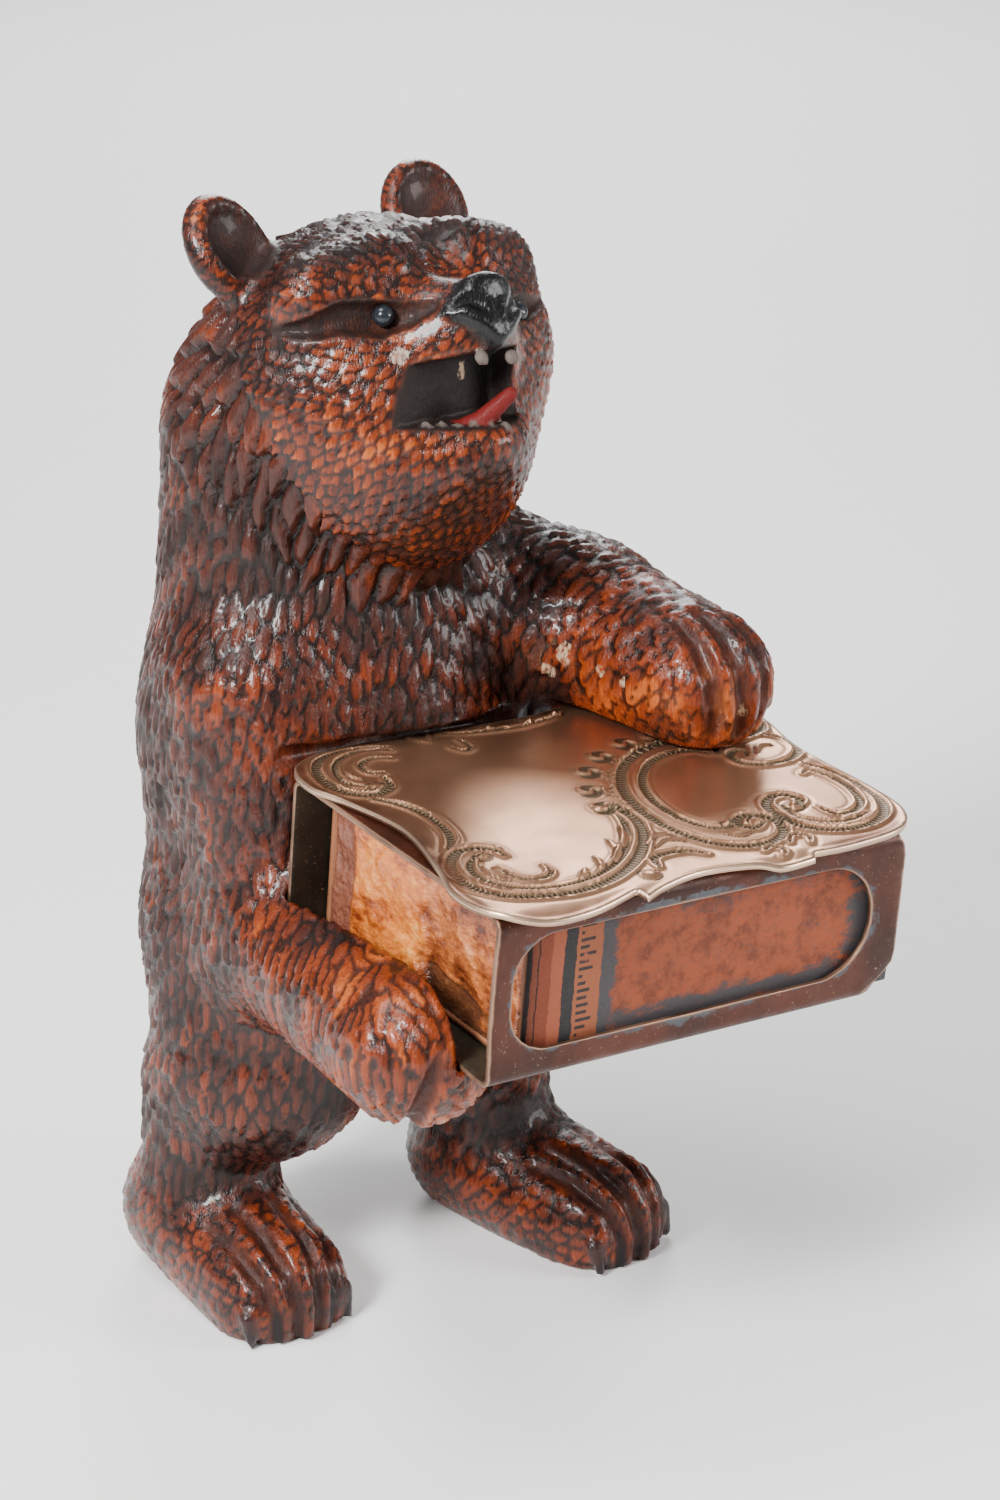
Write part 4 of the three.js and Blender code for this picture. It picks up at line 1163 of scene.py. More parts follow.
def curve_through(places, steps=8):
    """A smooth line through places."""
    p = np.array(places, float)
    ends = np.concatenate([p[:1], p, p[-1:]])
    t = np.linspace(0, 1, steps, endpoint=False)[:, None]
    parts = []
    for a, b, c, d in zip(ends[:-3], ends[1:-2], ends[2:-1], ends[3:]):
        v, w = (c - a) / 2, (d - b) / 2
        parts.append(b + v * t + (3 * (c - b) - 2 * v - w) * t ** 2 + (2 * (b - c) + v + w) * t ** 3)
    return np.concatenate([*parts, p[-1:]])


# The plate's scrolls, as places on the holder's top in millimetres. A band is a sunk
# channel between two raised lines, with fine ribs across it; a leaf is a raised stroke.
BANDS = (
    (1.5, (
        (8.2, 11.6), (8, 13.6), (6.3, 14.8), (4, 14.6), (1.9, 12.4), (0.9, 9.4), (1, 6.4), (3, 3.4),
        (6.4, 1.8), (10.5, 1.2), (15, 2.0), (19.5, 4.3), (23.4, 7.8), (25.8, 11.6), (26.6, 14.8),
        (25.9, 17.2), (24.6, 17.4),
    )),
    (1.0, (
        (6, 12.6), (4.6, 12.4), (3.2, 10.6), (2.9, 8.2), (3.9, 5.6), (6.2, 3.7), (10, 2.9),
        (14.6, 3.6), (18.6, 5.6), (22, 8.8), (24.4, 12.4), (25.2, 15.2),
    )),
    (0.9, ((10.7, 7.8), (10.4, 6.2), (9, 5.3), (7.2, 5.7), (6, 7.4), (5.8, 9.4))),
    (1.2, ((3.6, 30), (5.4, 28), (6.4, 25), (6.5, 21.6), (5.6, 18), (3.4, 15.4))),
    (1.4, (
        (13, 41.8), (11, 43.4), (7.8, 43.8), (4.4, 42.4), (2, 39.4), (1.2, 35.8), (2.1, 32.6),
        (4.6, 31.2), (7, 32.2), (7.6, 34.4),
    )),
    (0.9, (
        (12.6, 40.6), (10.4, 42), (7.4, 41.8), (4.8, 40), (3.3, 37.2), (3.2, 34.8), (4.6, 33.2),
    )),
    (0.8, ((11.4, 38.4), (9.4, 39.6), (7.2, 38.6), (6.8, 36.4), (8.4, 35.4))),
    (1.5, (
        (45.6, 24.4), (46.1, 26.8), (44.4, 28.8), (40.8, 29.4), (36.6, 28), (32.6, 24.8),
        (29.6, 20), (28.3, 14.6), (28.6, 9.4), (30.4, 5.2), (33.6, 2.9), (37.4, 2.9), (40, 5),
        (40, 8), (37.8, 9.4), (36, 7.8), (37, 6.2), (38.6, 6.8),
    )),
    (1.2, (
        (44.6, 24.8), (43.4, 26.4), (40.4, 26.8), (36.8, 25.4), (33.4, 22), (31.3, 17.4),
        (30.9, 12.6), (32.2, 8.8), (34.6, 7.4), (35.4, 8.6),
    )),
    (1.5, (
        (44.6, 8.6), (46.2, 10), (45.8, 11.8), (43.9, 12.2), (42, 10.6), (41.4, 7.4), (42.4, 4.2),
        (45.4, 2.2), (49.2, 1.9), (52.8, 3.6), (55, 7.2), (55.5, 11.6), (54.8, 15.8), (53, 18.3),
    )),
    (1.1, (
        (51.2, 16), (52.4, 16.4), (53.5, 14.4), (53.6, 10.8), (52.4, 7.2), (50, 5.4), (47.6, 5.6),
        (46.8, 7.8),
    )),
    (0.9, ((43.2, 9.4), (43.2, 6.6), (45, 4.6), (48, 3.6), (51.4, 4.4))),
    (1.2, (
        (48.2, 22.4), (48.9, 23.8), (47.6, 24.4), (46.4, 23), (46.9, 21), (49.4, 19.8),
        (52.8, 20.2), (55.4, 22.4), (55.8, 25.4), (54, 27),
    )),
    (1.2, ((44.8, 30.4), (47.6, 28), (51, 27.3), (54.6, 28.4), (57, 30.8))),
    (1.3, ((21.6, 2.4), (22.4, 4.4), (24.4, 5), (26.8, 4.6), (28.4, 3))),
    (0.9, ((18.9, 38.6), (19.9, 37), (21.2, 38), (21, 40.2))),
    (0.9, ((20.4, 43.6), (22.6, 41.8), (26, 41), (30, 40.6), (34.4, 41.4), (37, 43))),
    (0.8, ((38.4, 1.6), (39.6, 3), (41.2, 2.2), (40.4, 0.6))),
    (0.8, ((34.4, 0.9), (35.8, 1.6), (36.6, 0.2), (35.8, -0.8))),
)
LEAVES = (
    (1.0, ((12.4, 3.8), (13.4, 4.4), (14.2, 5.4))),
    (1.0, ((15.6, 4.6), (16.4, 5.8), (16.7, 7.4))),
    (1.5, ((18.4, 5.8), (20, 7.8), (20.5, 10.4))),
    (1.2, ((21.4, 8.4), (23, 10.4), (23.5, 12.6))),
    (0.9, ((24.2, 8.2), (26.2, 9.4), (27.6, 8.2))),
    (0.9, ((24.4, 6.9), (26.4, 7.9), (28.4, 6.7))),
    (0.8, ((16.8, 44.2), (16.9, 42), (18, 40.4))),
    (0.8, ((19.4, 44.2), (18.8, 42.6), (18, 41.4))),
    (0.7, ((25.4, 42.4), (26.2, 41.4), (25.6, 40.8))),
    (0.7, ((30.8, 42.2), (31.6, 41.2), (31, 40.6))),
    (0.7, ((35.2, 42.8), (36, 42), (35.6, 41.2))),
    (0.7, ((4.5, 10.6), (4.3, 8.4), (5.2, 6.4))),
    (0.7, ((5, 38.8), (4.6, 36.6), (5.4, 34.9))),
    (0.8, ((50.2, 23.2), (51.6, 24.6), (53, 24.2))),
    (0.8, ((33.4, 6.2), (34.6, 5.4), (36, 5.4))),
)
KNOBS = (
    (19.7, 1.3, 1.2), (6, 12.5, 0.9), (5.6, 33, 0.9),
    (44.5, 9, 1.1), (38.2, 7.4, 0.9), (35, 8.2, 0.8),
)
BUDS = ((41.9, 31.5), (37.6, 31.2), (33, 29.2), (29.2, 26.2), (26.4, 21.8), (25.2, 17.4))
BUD_SIZE = 1.35
STEMS_TOWARDS = np.array([41.0, 16.6])


def line_of(q, line):
    """The distance from a line, how far along it the nearest place is, and its length."""
    best, along, run = np.full(len(q), 9.0), np.zeros(len(q)), 0.0
    for a, b in zip(line[:-1], line[1:]):
        way = b - a
        size = norm(way)
        t = np.clip(((q - a) @ way) / (size * size + 1e-9), 0, 1)
        d = norm(q - a - t[:, None] * way)
        nearer = d < best
        best = np.where(nearer, d, best)
        along = np.where(nearer, run + t * size, along)
        run += size
    return best, along, run


def swell(d, width):
    return np.exp(-(d / width) ** 2)


def emboss(q):
    """The relief of the plate's top: its height, how sunk it is and the run of its ribs."""
    height, sunk, ribs = (np.zeros(len(q)) for _ in range(3))
    for width, places in BANDS:
        line = curve_through(places)
        near = ((q > line.min(0) - 2.5) & (q < line.max(0) + 2.5)).all(-1)
        d, along, total = line_of(q[near], line)
        taper = 0.35 + 0.65 * np.clip(np.minimum(along, total - along) / 3, 0, 1)
        half = width / 2 * taper
        lip = swell(d - half - 0.12, 0.2)
        channel = 1 - step_up(d, half * 0.6, half)
        part = 0.26 * lip - 0.22 * channel * taper - 0.06 * swell(d - half - 0.65, 0.22)
        height[near] = np.where(np.abs(part) > np.abs(height[near]), part, height[near])
        sunk[near] = np.maximum(sunk[near], channel + 0.45 * swell(d - half - 0.5, 0.2))
        ribs[near] = np.where(channel > 0.2, along, ribs[near])
    for width, places in LEAVES:
        line = curve_through(places)
        d, along, total = line_of(q, line)
        half = width / 2 * np.sin(np.pi * np.clip(along / total, 0.12, 0.97)) ** 0.6
        body = 1 - step_up(d, half * 0.3, half)
        height += 0.3 * body
        sunk = np.maximum(sunk * (1 - body), swell(d - half - 0.14, 0.13) * 0.8)
    for x, y, radius in KNOBS:
        d = norm(q - [x, y])
        height += 0.32 * (1 - step_up(d, radius * 0.3, radius))
        sunk = np.maximum(sunk, swell(d - radius - 0.1, 0.16))
    for x, y in BUDS:
        away = (q - [x, y]) / BUD_SIZE
        d = norm(away)
        angle = np.arctan2(away[:, 1], away[:, 0])
        curl = swell(((angle + d * 1.9) % np.pi) - 1.57, 0.75)
        height += (0.42 * curl - 0.1) * (1 - step_up(d, 1.0, 1.45))
        sunk = np.maximum(sunk, (1 - curl) * (1 - step_up(d, 1.1, 1.5)) + 0.5 * swell(d - 1.6, 0.16))
        stem = STEMS_TOWARDS - [x, y]
        stem = stem / norm(stem)
        for turn in (-0.5, 0, 0.5):
            side = np.array([stem[0] - turn * stem[1], stem[1] + turn * stem[0]])
            d, _, _ = line_of(q, np.array([[x, y] + side * 1.5, [x, y] + side * 2.6]))
            height += 0.2 * swell(d, 0.24)
            sunk = np.maximum(sunk, swell(d - 0.42, 0.14) * 0.7)
    return height, sunk, ribs


def plate_outline():
    """The closed line round the plate, on the holder's top in millimetres."""
    line = np.concatenate([curve_through(PLATE_FRAME, 10), curve_through(PLATE_BUMP, 8)])
    line = line * PLATE_SIZE / 2 + PLATE_MIDDLE
    return np.concatenate([line, line[:1]])


def cells_within(outline, step):
    """The corners and quads of an even grid that lie within a closed line."""
    low, high = outline.min(0), outline.max(0)
    count = np.ceil((high - low) / step).astype(int) + 1
    i, j = np.meshgrid(np.arange(count[0]), np.arange(count[1]), indexing="ij")
    places = np.stack([i.ravel(), j.ravel()], -1) * step + low
    cells = grid_faces(count[0], count[1])
    middle = places[cells].mean(1)
    inside = np.zeros(len(middle), bool)
    for a, b in zip(outline[:-1], outline[1:]):
        crosses = (a[1] > middle[:, 1]) != (b[1] > middle[:, 1])
        level = (middle[:, 1] - a[1]) / np.where(b[1] == a[1], 1e-9, b[1] - a[1])
        inside ^= crosses & (middle[:, 0] < a[0] + level * (b[0] - a[0]))
    cells = cells[inside]
    used, numbers = np.unique(cells, return_inverse=True)
    return places[used], numbers.reshape(cells.shape)


def rim_edges(cells, count):
    """The edges that only one quad has."""
    edges = np.concatenate([cells[:, [k, (k + 1) % 4]] for k in range(4)])
    key = edges.min(1).astype(np.int64) * count + edges.max(1)
    _, first, seen = np.unique(key, return_index=True, return_counts=True)
    return edges[first[seen == 1]]


def emboss_plate(settings):
    """The plate on top of the sleeve, pressed into scrolls."""
    outline = plate_outline()
    places, cells = cells_within(outline, PLATE_GRID)
    rim = rim_edges(cells, len(places))
    to_rim, along, _ = line_of(places, outline)
    rim_corners = np.unique(rim)
    run = np.concatenate([[0], np.cumsum(norm(np.diff(outline, axis=0)))])
    for k in (0, 1):
        places[rim_corners, k] = np.interp(along[rim_corners], run, outline[:, k])
    height, sunk, ribs = emboss(places)
    to_rim[rim_corners] = 0
    height *= settings.relief * step_up(to_rim, 0.3, 1.2)
    height += 0.12 * swell(to_rim - 0.25, 0.3) + 0.25 * step_up(to_rim, 0, 16)
    x, y = places.T
    beyond = np.maximum.reduce([-y, y - SLEEVE[1], -x, x - SLEEVE[0]])
    height -= 0.12 * np.maximum(beyond, 0) ** 1.3
    level = SLEEVE[2] + GAP + SHEET
    top = np.c_[places, level + height]
    under = np.c_[places, level + height - SHEET]
    under[:, 2] = np.maximum(under[:, 2], np.where(beyond < -0.1, SLEEVE[2] + 0.08, 0))
    count = len(places)
    wall = np.stack([rim[:, 1], rim[:, 0], rim[:, 0] + count, rim[:, 1] + count], -1)
    faces = np.concatenate([cells, cells[:, ::-1] + count, wall])
    corners = holder_corners(np.concatenate([top, under]))
    obj = mesh_object("scroll_plate", corners, faces, [bronze_sheet(settings)])
    store(
        obj,
        sunk=np.concatenate([sunk, np.zeros(count)]),
        rib_run=np.concatenate([ribs, np.zeros(count)]),
        to_rim=np.tile(to_rim, 2),
    )
    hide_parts("embossed_plate")


# The matchbox

CARD_CORNER = 0.45
COVER_STEPS = 50
COVER_WAVE = 0.07


def rounded_section(low, high, radius, steps=5, sides=14):
    """Places round a rectangle with rounded corners, in y and z."""
    corners = (
        (high[0], high[1], 0), (low[0], high[1], 90), (low[0], low[1], 180), (high[0], low[1], 270)
    )
    places = []
    for y, z, start in corners:
        y += -radius if y == high[0] else radius
        z += -radius if z == high[1] else radius
        for angle in np.radians(np.linspace(start, start + 90, steps)):
            places.append((y + radius * np.cos(angle), z + radius * np.sin(angle)))
    places = np.array(places + places[:1])
    out = []
    for a, b in zip(places[:-1], places[1:]):
        count = max(1, int(norm(b - a) / 3 * sides / 14 + 0.5))
        out += [a + (b - a) * t for t in np.arange(count) / count]
    return np.array(out)


def fold_cover(settings):
    """The matchbox's cover: a card tube with a striking side in the sleeve's window."""
    low = np.array([(SLEEVE[1] - BOX[1]) / 2, SHEET + GAP])
    high = low + BOX[1:]
    outside = rounded_section(low, high, CARD_CORNER)
    middle = (low + high) / 2
    inside = middle + (outside - middle) * (1 - 2 * CARD / BOX[1:])
    x = BOX_INSET + BOX[0] * np.linspace(0, 1, COVER_STEPS)
    rings = [np.c_[np.full(len(outside), along), outside] for along in x]
    rings += [np.c_[np.full(len(inside), along), inside] for along in x[::-1]]
    places = np.array(rings)
    wavy = COVER_WAVE * low_noise(places.reshape(-1, 3)[:, [0, 2]], 31, 14.0).reshape(places.shape[:2])
    front = places[:COVER_STEPS, :, 1]
    front += wavy[:COVER_STEPS] * (front < low[0] + 0.5)
    places = np.concatenate([places, places[:1]])
    faces = grid_faces(len(places), len(outside), around=True)
    flat = places.reshape(-1, 3)
    obj = mesh_object("matchbox_card_cover", holder_corners(flat), faces, [printed_card(settings)])
    striker = 1 - step_up(flat[:, 1], low[0] + 0.25, low[0] + 0.6)
    store(obj, box_x=flat[:, 0], box_z=flat[:, 2], striker=striker)
    face_outwards(obj)
    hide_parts("matchbox_cover")


# The paper's folds: how far apart they are in millimetres, and how strong
FOLDS = ((16, 1), (11, 0.8), (7, 0.6), (5, 0.5), (3.4, 0.35), (2.3, 0.25), (1.5, 0.15))


def creases(q):
    """Crumpled paper: sharp folds in many directions, from -1 to 1."""
    rng = np.random.default_rng(17)
    total = np.zeros(len(q))
    for scale, share in FOLDS:
        for _ in range(2):
            angle, phase = rng.uniform(0, np.pi), rng.uniform(0, 1)
            seed = int(scale * 10)
            sway = np.stack([low_noise(q, seed + n, scale * 2) for n in (0, 1)], -1)
            bent = q + 0.25 * scale * sway
            wave = (bent @ [np.cos(angle), np.sin(angle)]) / scale + phase
            total += share * (np.abs((wave % 1) - 0.5) * 4 - 1)
    return total / 3.2


WRAP_LOW, WRAP_HIGH = np.array([1.5, 1.15]), np.array([38.4, 17.9])
WRAP_ROWS, WRAP_COLUMNS = 84, 168
TRAY_STEPS = 12


def paper_relief(q, crumple):
    """How far the paper stands out, and where its flap lies over it."""
    y, z = q.T
    edge = np.minimum.reduce([y - WRAP_LOW[0], WRAP_HIGH[0] - y, z - WRAP_LOW[1], WRAP_HIGH[1] - z])
    sway = 0.5 * np.sin(z * 1.3)
    flap = step_up(y, 19.2 + sway, 19.8 + sway)
    lower = (1 - step_up(z, 6.6, 7.4)) * step_up(y, 18, 19.5)
    tuck = (1 - step_up(z, 3.2 + 0.13 * y, 4.2 + 0.13 * y)) * (1 - flap)
    out = crumple * (creases(q) + 0.3) * step_up(edge, 0, 1.2)
    out = out + 0.42 * flap * (1 - step_up(y, 33, 34)) + 0.22 * lower - 0.5 * tuck
    return np.clip(out, -0.45, 1.1) - 0.5 * (1 - step_up(edge, 0, 0.5)), flap


def open_tray():
    """The tray's corners and faces, from its front end to its back end."""
    low = np.array([BOX_INSET + TRAY_SETBACK, (SLEEVE[1] - TRAY_WIDTH) / 2, TRAY_LEVEL])
    high = low + [BOX[0] - TRAY_SETBACK, TRAY_WIDTH, TRAY_HEIGHT]
    y, z = (low[1], high[1]), (low[2], high[2])
    inner_y, floor = (y[0] + CARD, y[1] - CARD), z[0] + CARD
    section = np.array([
        (y[0], z[1]), (y[0], z[0]), (y[1], z[0]), (y[1], z[1]),
        (inner_y[1], z[1]), (inner_y[1], floor), (inner_y[0], floor), (inner_y[0], z[1]),
    ])
    runs = np.linspace(low[0], high[0], TRAY_STEPS)
    walls = np.array([np.c_[np.full(len(section), x), section] for x in runs]).reshape(-1, 3)
    faces = [grid_faces(TRAY_STEPS, len(section), around=True)]
    for first in (0, (TRAY_STEPS - 1) * len(section)):
        faces.append(first + np.array([(0, 1, 6, 7), (1, 2, 5, 6), (2, 3, 4, 5)]))
    return walls, np.concatenate(faces)


def wrap_tray(settings):
    """The tray, with the crumpled paper that wraps its end."""
    walls, tray_faces = open_tray()
    rows, columns = WRAP_ROWS, WRAP_COLUMNS
    v, u = np.meshgrid(np.linspace(0, 1, rows), np.linspace(0, 1, columns), indexing="ij")
    q = np.stack([u.ravel(), v.ravel()], -1) * (WRAP_HIGH - WRAP_LOW) + WRAP_LOW
    out, flap = paper_relief(q, settings.crumple / MM)
    front = np.c_[BOX_INSET - 0.35 - out, q]
    back = np.c_[np.full(len(q), BOX_INSET + 0.5), q]
    count = len(q)
    number = np.arange(count).reshape(rows, columns)
    rim = np.concatenate([number[0], number[1:, -1], number[-1, -2::-1], number[-2:0:-1, 0]])
    following = np.roll(rim, -1)
    side = np.stack([rim, following, following + count, rim + count], -1)
    sheet = grid_faces(rows, columns)
    paper = np.concatenate([sheet[:, ::-1], sheet + count, side]) + len(walls)
    faces = np.concatenate([tray_faces, paper])
    places = np.concatenate([walls, front, back])
    obj = mesh_object("wrapped_tray", holder_corners(places), faces, [paper_wrap(settings)])
    plain = np.zeros(len(walls))
    store(
        obj,
        box_y=np.concatenate([plain, np.tile(q[:, 0], 2)]),
        fold=np.concatenate([plain, np.tile(out, 2)]),
        flap=np.concatenate([plain, np.tile(flap, 2)]),
    )
    face_outwards(obj)
    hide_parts("matchbox_tray")


# Finishes

class Finish:
    """A material under way, with short names for the nodes that its finish uses."""

    def __init__(self, name):
        self.material = bpy.data.materials.new(name)
        self.material.use_nodes = True
        self.tree = self.material.node_tree
        self.shader = self.tree.nodes["Principled BSDF"]

    def feed(self, socket, value):
        if isinstance(value, bpy.types.NodeSocket):
            self.tree.links.new(value, socket)
        elif socket.type == "RGBA":
            socket.default_value = (*tuple(value)[:3], 1)
        else:
            socket.default_value = value

    def node(self, kind, inputs=(), **settings):
        node = self.tree.nodes.new("ShaderNode" + kind)
        for name, value in settings.items():
            setattr(node, name, value)
        for name, value in dict(inputs).items():
            self.feed(node.inputs[name], value)
        return node

    def corner_value(self, name):
        return self.node("Attribute", attribute_name=name).outputs["Fac"]

    def place(self, stretch=(1, 1, 1)):
        spot = self.node("TexCoord").outputs["Object"]
        return self.node("Mapping", {"Vector": spot, "Scale": stretch}).outputs["Vector"]

    def noise(self, size, detail=3.0, stretch=(1, 1, 1), roughness=0.5):
        """Noise with spots of a size in millimetres."""
        inputs = {"Vector": self.place(stretch), "Scale": 1 / (size * MM)}
        inputs.update({"Detail": detail, "Roughness": roughness})
        return self.node("TexNoise", inputs).outputs["Fac"]

    def math(self, operation, a, b=0.0):
        node = self.node("Math", operation=operation)
        for socket, value in zip(node.inputs, (a, b)):
            self.feed(socket, value)
        return node.outputs["Value"]

    def plus(self, first, *others):
        for other in others:
            first = self.math("ADD", first, other)
        return first

    def times(self, first, *others):
        for other in others:
            first = self.math("MULTIPLY", first, other)
        return first

    def span(self, value, low, high, start=0.0, end=1.0):
        inputs = {"Value": value, "From Min": low, "From Max": high, "To Min": start, "To Max": end}
        return self.node("MapRange", inputs, interpolation_type="SMOOTHSTEP").outputs["Result"]

    def mix(self, share, a, b):
        node = self.node("Mix", data_type="RGBA")
        colours = [s for s in node.inputs if s.type == "RGBA"]
        self.feed(node.inputs["Factor"], share)
        self.feed(colours[0], a)
        self.feed(colours[1], b)
        return [s for s in node.outputs if s.type == "RGBA"][0]

    def between(self, share, a, b):
        node = self.node("Mix", data_type="FLOAT")
        numbers = [s for s in node.inputs if s.type == "VALUE"]
        for socket, value in zip(numbers, (share, a, b)):
            self.feed(socket, value)
        return [s for s in node.outputs if s.type == "VALUE"][0]

    def ramp(self, share, stops, kind="LINEAR"):
        node = self.node("ValToRGB", {"Fac": share})
        ramp = node.color_ramp
        ramp.interpolation = kind
        while len(ramp.elements) < len(stops):
            ramp.elements.new(1.0)
        for element, (position, colour) in zip(ramp.elements, stops):
            element.position = position
            element.color = (*colour, 1)
        return node.outputs["Color"]

    def bump(self, height, depth, strength=1.0):
        """A relief of a depth in millimetres."""
        inputs = {"Height": height, "Distance": depth * MM, "Strength": strength}
        return self.node("Bump", inputs).outputs["Normal"]

    def made(self, **values):
        for name, value in values.items():
            self.feed(self.shader.inputs[name.replace("_", " ").title().replace("Ior", "IOR")], value)
        return self.material


# Colours of the bear's bare and carved places, by their zone; in the mouth, eye slits, ear hollows and
# grooves, pooled stain with painted shade
ZONE_TINTS = {
    "dark_zone": (0.010, 0.0052, 0.0042),
    "tongue_zone": (0.11, 0.005, 0.004),
    "tooth_zone": (0.10, 0.078, 0.066),
    "nose_zone": (0.003, 0.0026, 0.003),
    "claw_zone": (0.010, 0.009, 0.010),
}
UNWORN_TOP, BRIGHTEST_TOP = (0.012, 0.006, 0.005), (0.36, 0.08, 0.014)
SHALLOW_CUT, WORN_CUT = (0.018, 0.006, 0.004), (0.06, 0.013, 0.005)
CHIPPED_WOOD, SCRAPED_WOOD = (0.40, 0.27, 0.17), (0.30, 0.22, 0.18)


def stained_wood(settings):
    """Carved wood under dark stain, worn to red and orange on its tops."""
    f = Finish("stained_wood")
    grain = f.noise(0.35, 3, (1, 1, 0.12))
    cloud = f.noise(5, 3)
    speck = f.noise(0.5, 2)
    worn = f.plus(
        f.corner_value("worn"),
        f.times(f.math("SUBTRACT", f.corner_value("lock_shade"), 0.5), 0.22),
        f.times(f.math("SUBTRACT", cloud, 0.5), 0.7),
        f.times(f.math("SUBTRACT", grain, 0.5), 0.5),
    )
    red, orange = tuple(settings.wood_colour), tuple(settings.worn_colour)
    tops = f.ramp(worn, [(0.05, UNWORN_TOP), (0.42, red), (0.8, orange), (1.0, BRIGHTEST_TOP)])
    dark = tuple(settings.groove_colour)
    cuts = f.ramp(worn, [(0.34, dark), (0.6, SHALLOW_CUT), (0.88, WORN_CUT)])
    crest = f.plus(f.corner_value("crest"), f.times(f.math("SUBTRACT", speck, 0.5), 0.3))
    top = f.span(crest, 0.08, 0.85)
    colour = f.mix(top, cuts, tops)
    # The mouth, eye slits, ear hollows and grooves get pooled stain with painted shade
    for zone, tint in ZONE_TINTS.items():
        colour = f.mix(f.corner_value(zone), colour, tint)
    chip_noise = f.noise(0.5, 4, (1, 1, 0.5), 0.7)
    chip = f.span(f.times(f.corner_value("chip_zone"), chip_noise), 0.38, 0.56)
    colour = f.mix(chip, colour, CHIPPED_WOOD)
    scrape_noise = f.noise(0.5, 4, (1, 1, 0.3))
    scrape = f.span(f.times(f.corner_value("scrape_zone"), scrape_noise), 0.38, 0.56)
    colour = f.mix(scrape, colour, SCRAPED_WOOD)
    rough = f.between(top, 0.22, f.span(grain, 0.2, 0.8, 0.2, 0.36))
    rough = f.plus(rough, f.span(worn, 0.1, 0.5, 0.22, 0))
    hollow = f.corner_value("dark_zone")
    rough = f.between(f.math("MAXIMUM", chip, f.times(hollow, 0.7)), rough, 0.8)
    relief = f.plus(f.noise(0.22, 3, (1, 1, 0.15)), f.times(f.noise(1.1, 3), 1.6))
    polish = f.span(worn, 0.05, 0.45, 0.45 * settings.gloss, settings.gloss)
    polish = f.between(hollow, polish, 0.02)
    return f.made(
        base_color=colour, roughness=rough, normal=f.bump(relief, 0.11, 0.9),
        specular_ior_level=0.22, coat_weight=polish, coat_roughness=0.1,
    )


def dark_glass(settings):
    f = Finish("eye_bead_glass")
    colour = f.mix(f.noise(1.2, 3), (0.004, 0.005, 0.008), (0.016, 0.021, 0.027))
    rough = f.span(f.noise(0.6, 3), 0.3, 0.7, 0.18, 0.3)
    return f.made(
        base_color=colour, roughness=rough, normal=f.bump(f.noise(0.5, 2), 0.01),
        specular_ior_level=0.35, coat_weight=0.1, coat_roughness=0.12,
    )


# Colours of the metal's bare, worn and dirty places, and of its inside, darkened as painted shade
SHADED_INSIDE_SHEET, WORN_SHEET_EDGE = (0.035, 0.028, 0.018), (0.30, 0.17, 0.11)
GREY_SHEET, RUBBED_SHEET, SHEET_SPECK = (0.062, 0.066, 0.075), (0.34, 0.2, 0.13), (0.35, 0.2, 0.12)
CHANNEL_FLOOR, CHANNEL_RIB = (0.07, 0.048, 0.03), (0.26, 0.18, 0.11)
BROWN_RIM, RIM_EDGE, BRONZE_SPECK = (0.2, 0.075, 0.035), (0.7, 0.52, 0.38), (0.75, 0.6, 0.45)
RIB_STEP = 0.62


def sheet_finish(name, base, metallic, worn):
    """One finish of the sheet. The worn one has grey patches and rubbed edges."""
    f = Finish(name)
    cloud, spots, speck = f.noise(7, 4), f.noise(2.2, 4, roughness=0.65), f.noise(0.35, 2)
    colour = f.mix(f.span(cloud, 0.35, 0.7), tuple(base), [c * 0.42 for c in base])
    if worn:
        rim = f.plus(f.span(f.corner_value("from_window"), 0.1, 3.2, 1, 0), f.span(cloud, 0.5, 0.8, 0, 0.5))
        colour = f.mix(f.span(f.times(rim, spots), 0.42, 0.62), colour, GREY_SHEET)
        edge = f.plus(f.corner_value("from_edge"), f.times(spots, 0.4))
        colour = f.mix(f.span(edge, 0.25, 0.6, 0.85, 0), colour, RUBBED_SHEET)
    colour = f.mix(f.span(speck, 0.66, 0.74, 0, 0.5), colour, SHEET_SPECK)
    rough = f.span(spots, 0.3, 0.7, 0.34, 0.56)
    relief = f.plus(cloud, f.times(speck, 0.15))
    return f.made(base_color=colour, metallic=metallic, roughness=rough, normal=f.bump(relief, 0.25, 0.5))


def browned_sheet(settings):
    """The sleeve's outside, its inside darkened as painted shade, and its worn edges."""
    return [
        sheet_finish("browned_sheet", settings.sheet_colour, 0.5, True),
        # The inside is the sheet's finish made darker: painted shade
        sheet_finish("shaded_sheet_inside", SHADED_INSIDE_SHEET, 0.35, False),
        sheet_finish("worn_edge", WORN_SHEET_EDGE, 0.85, False),
    ]


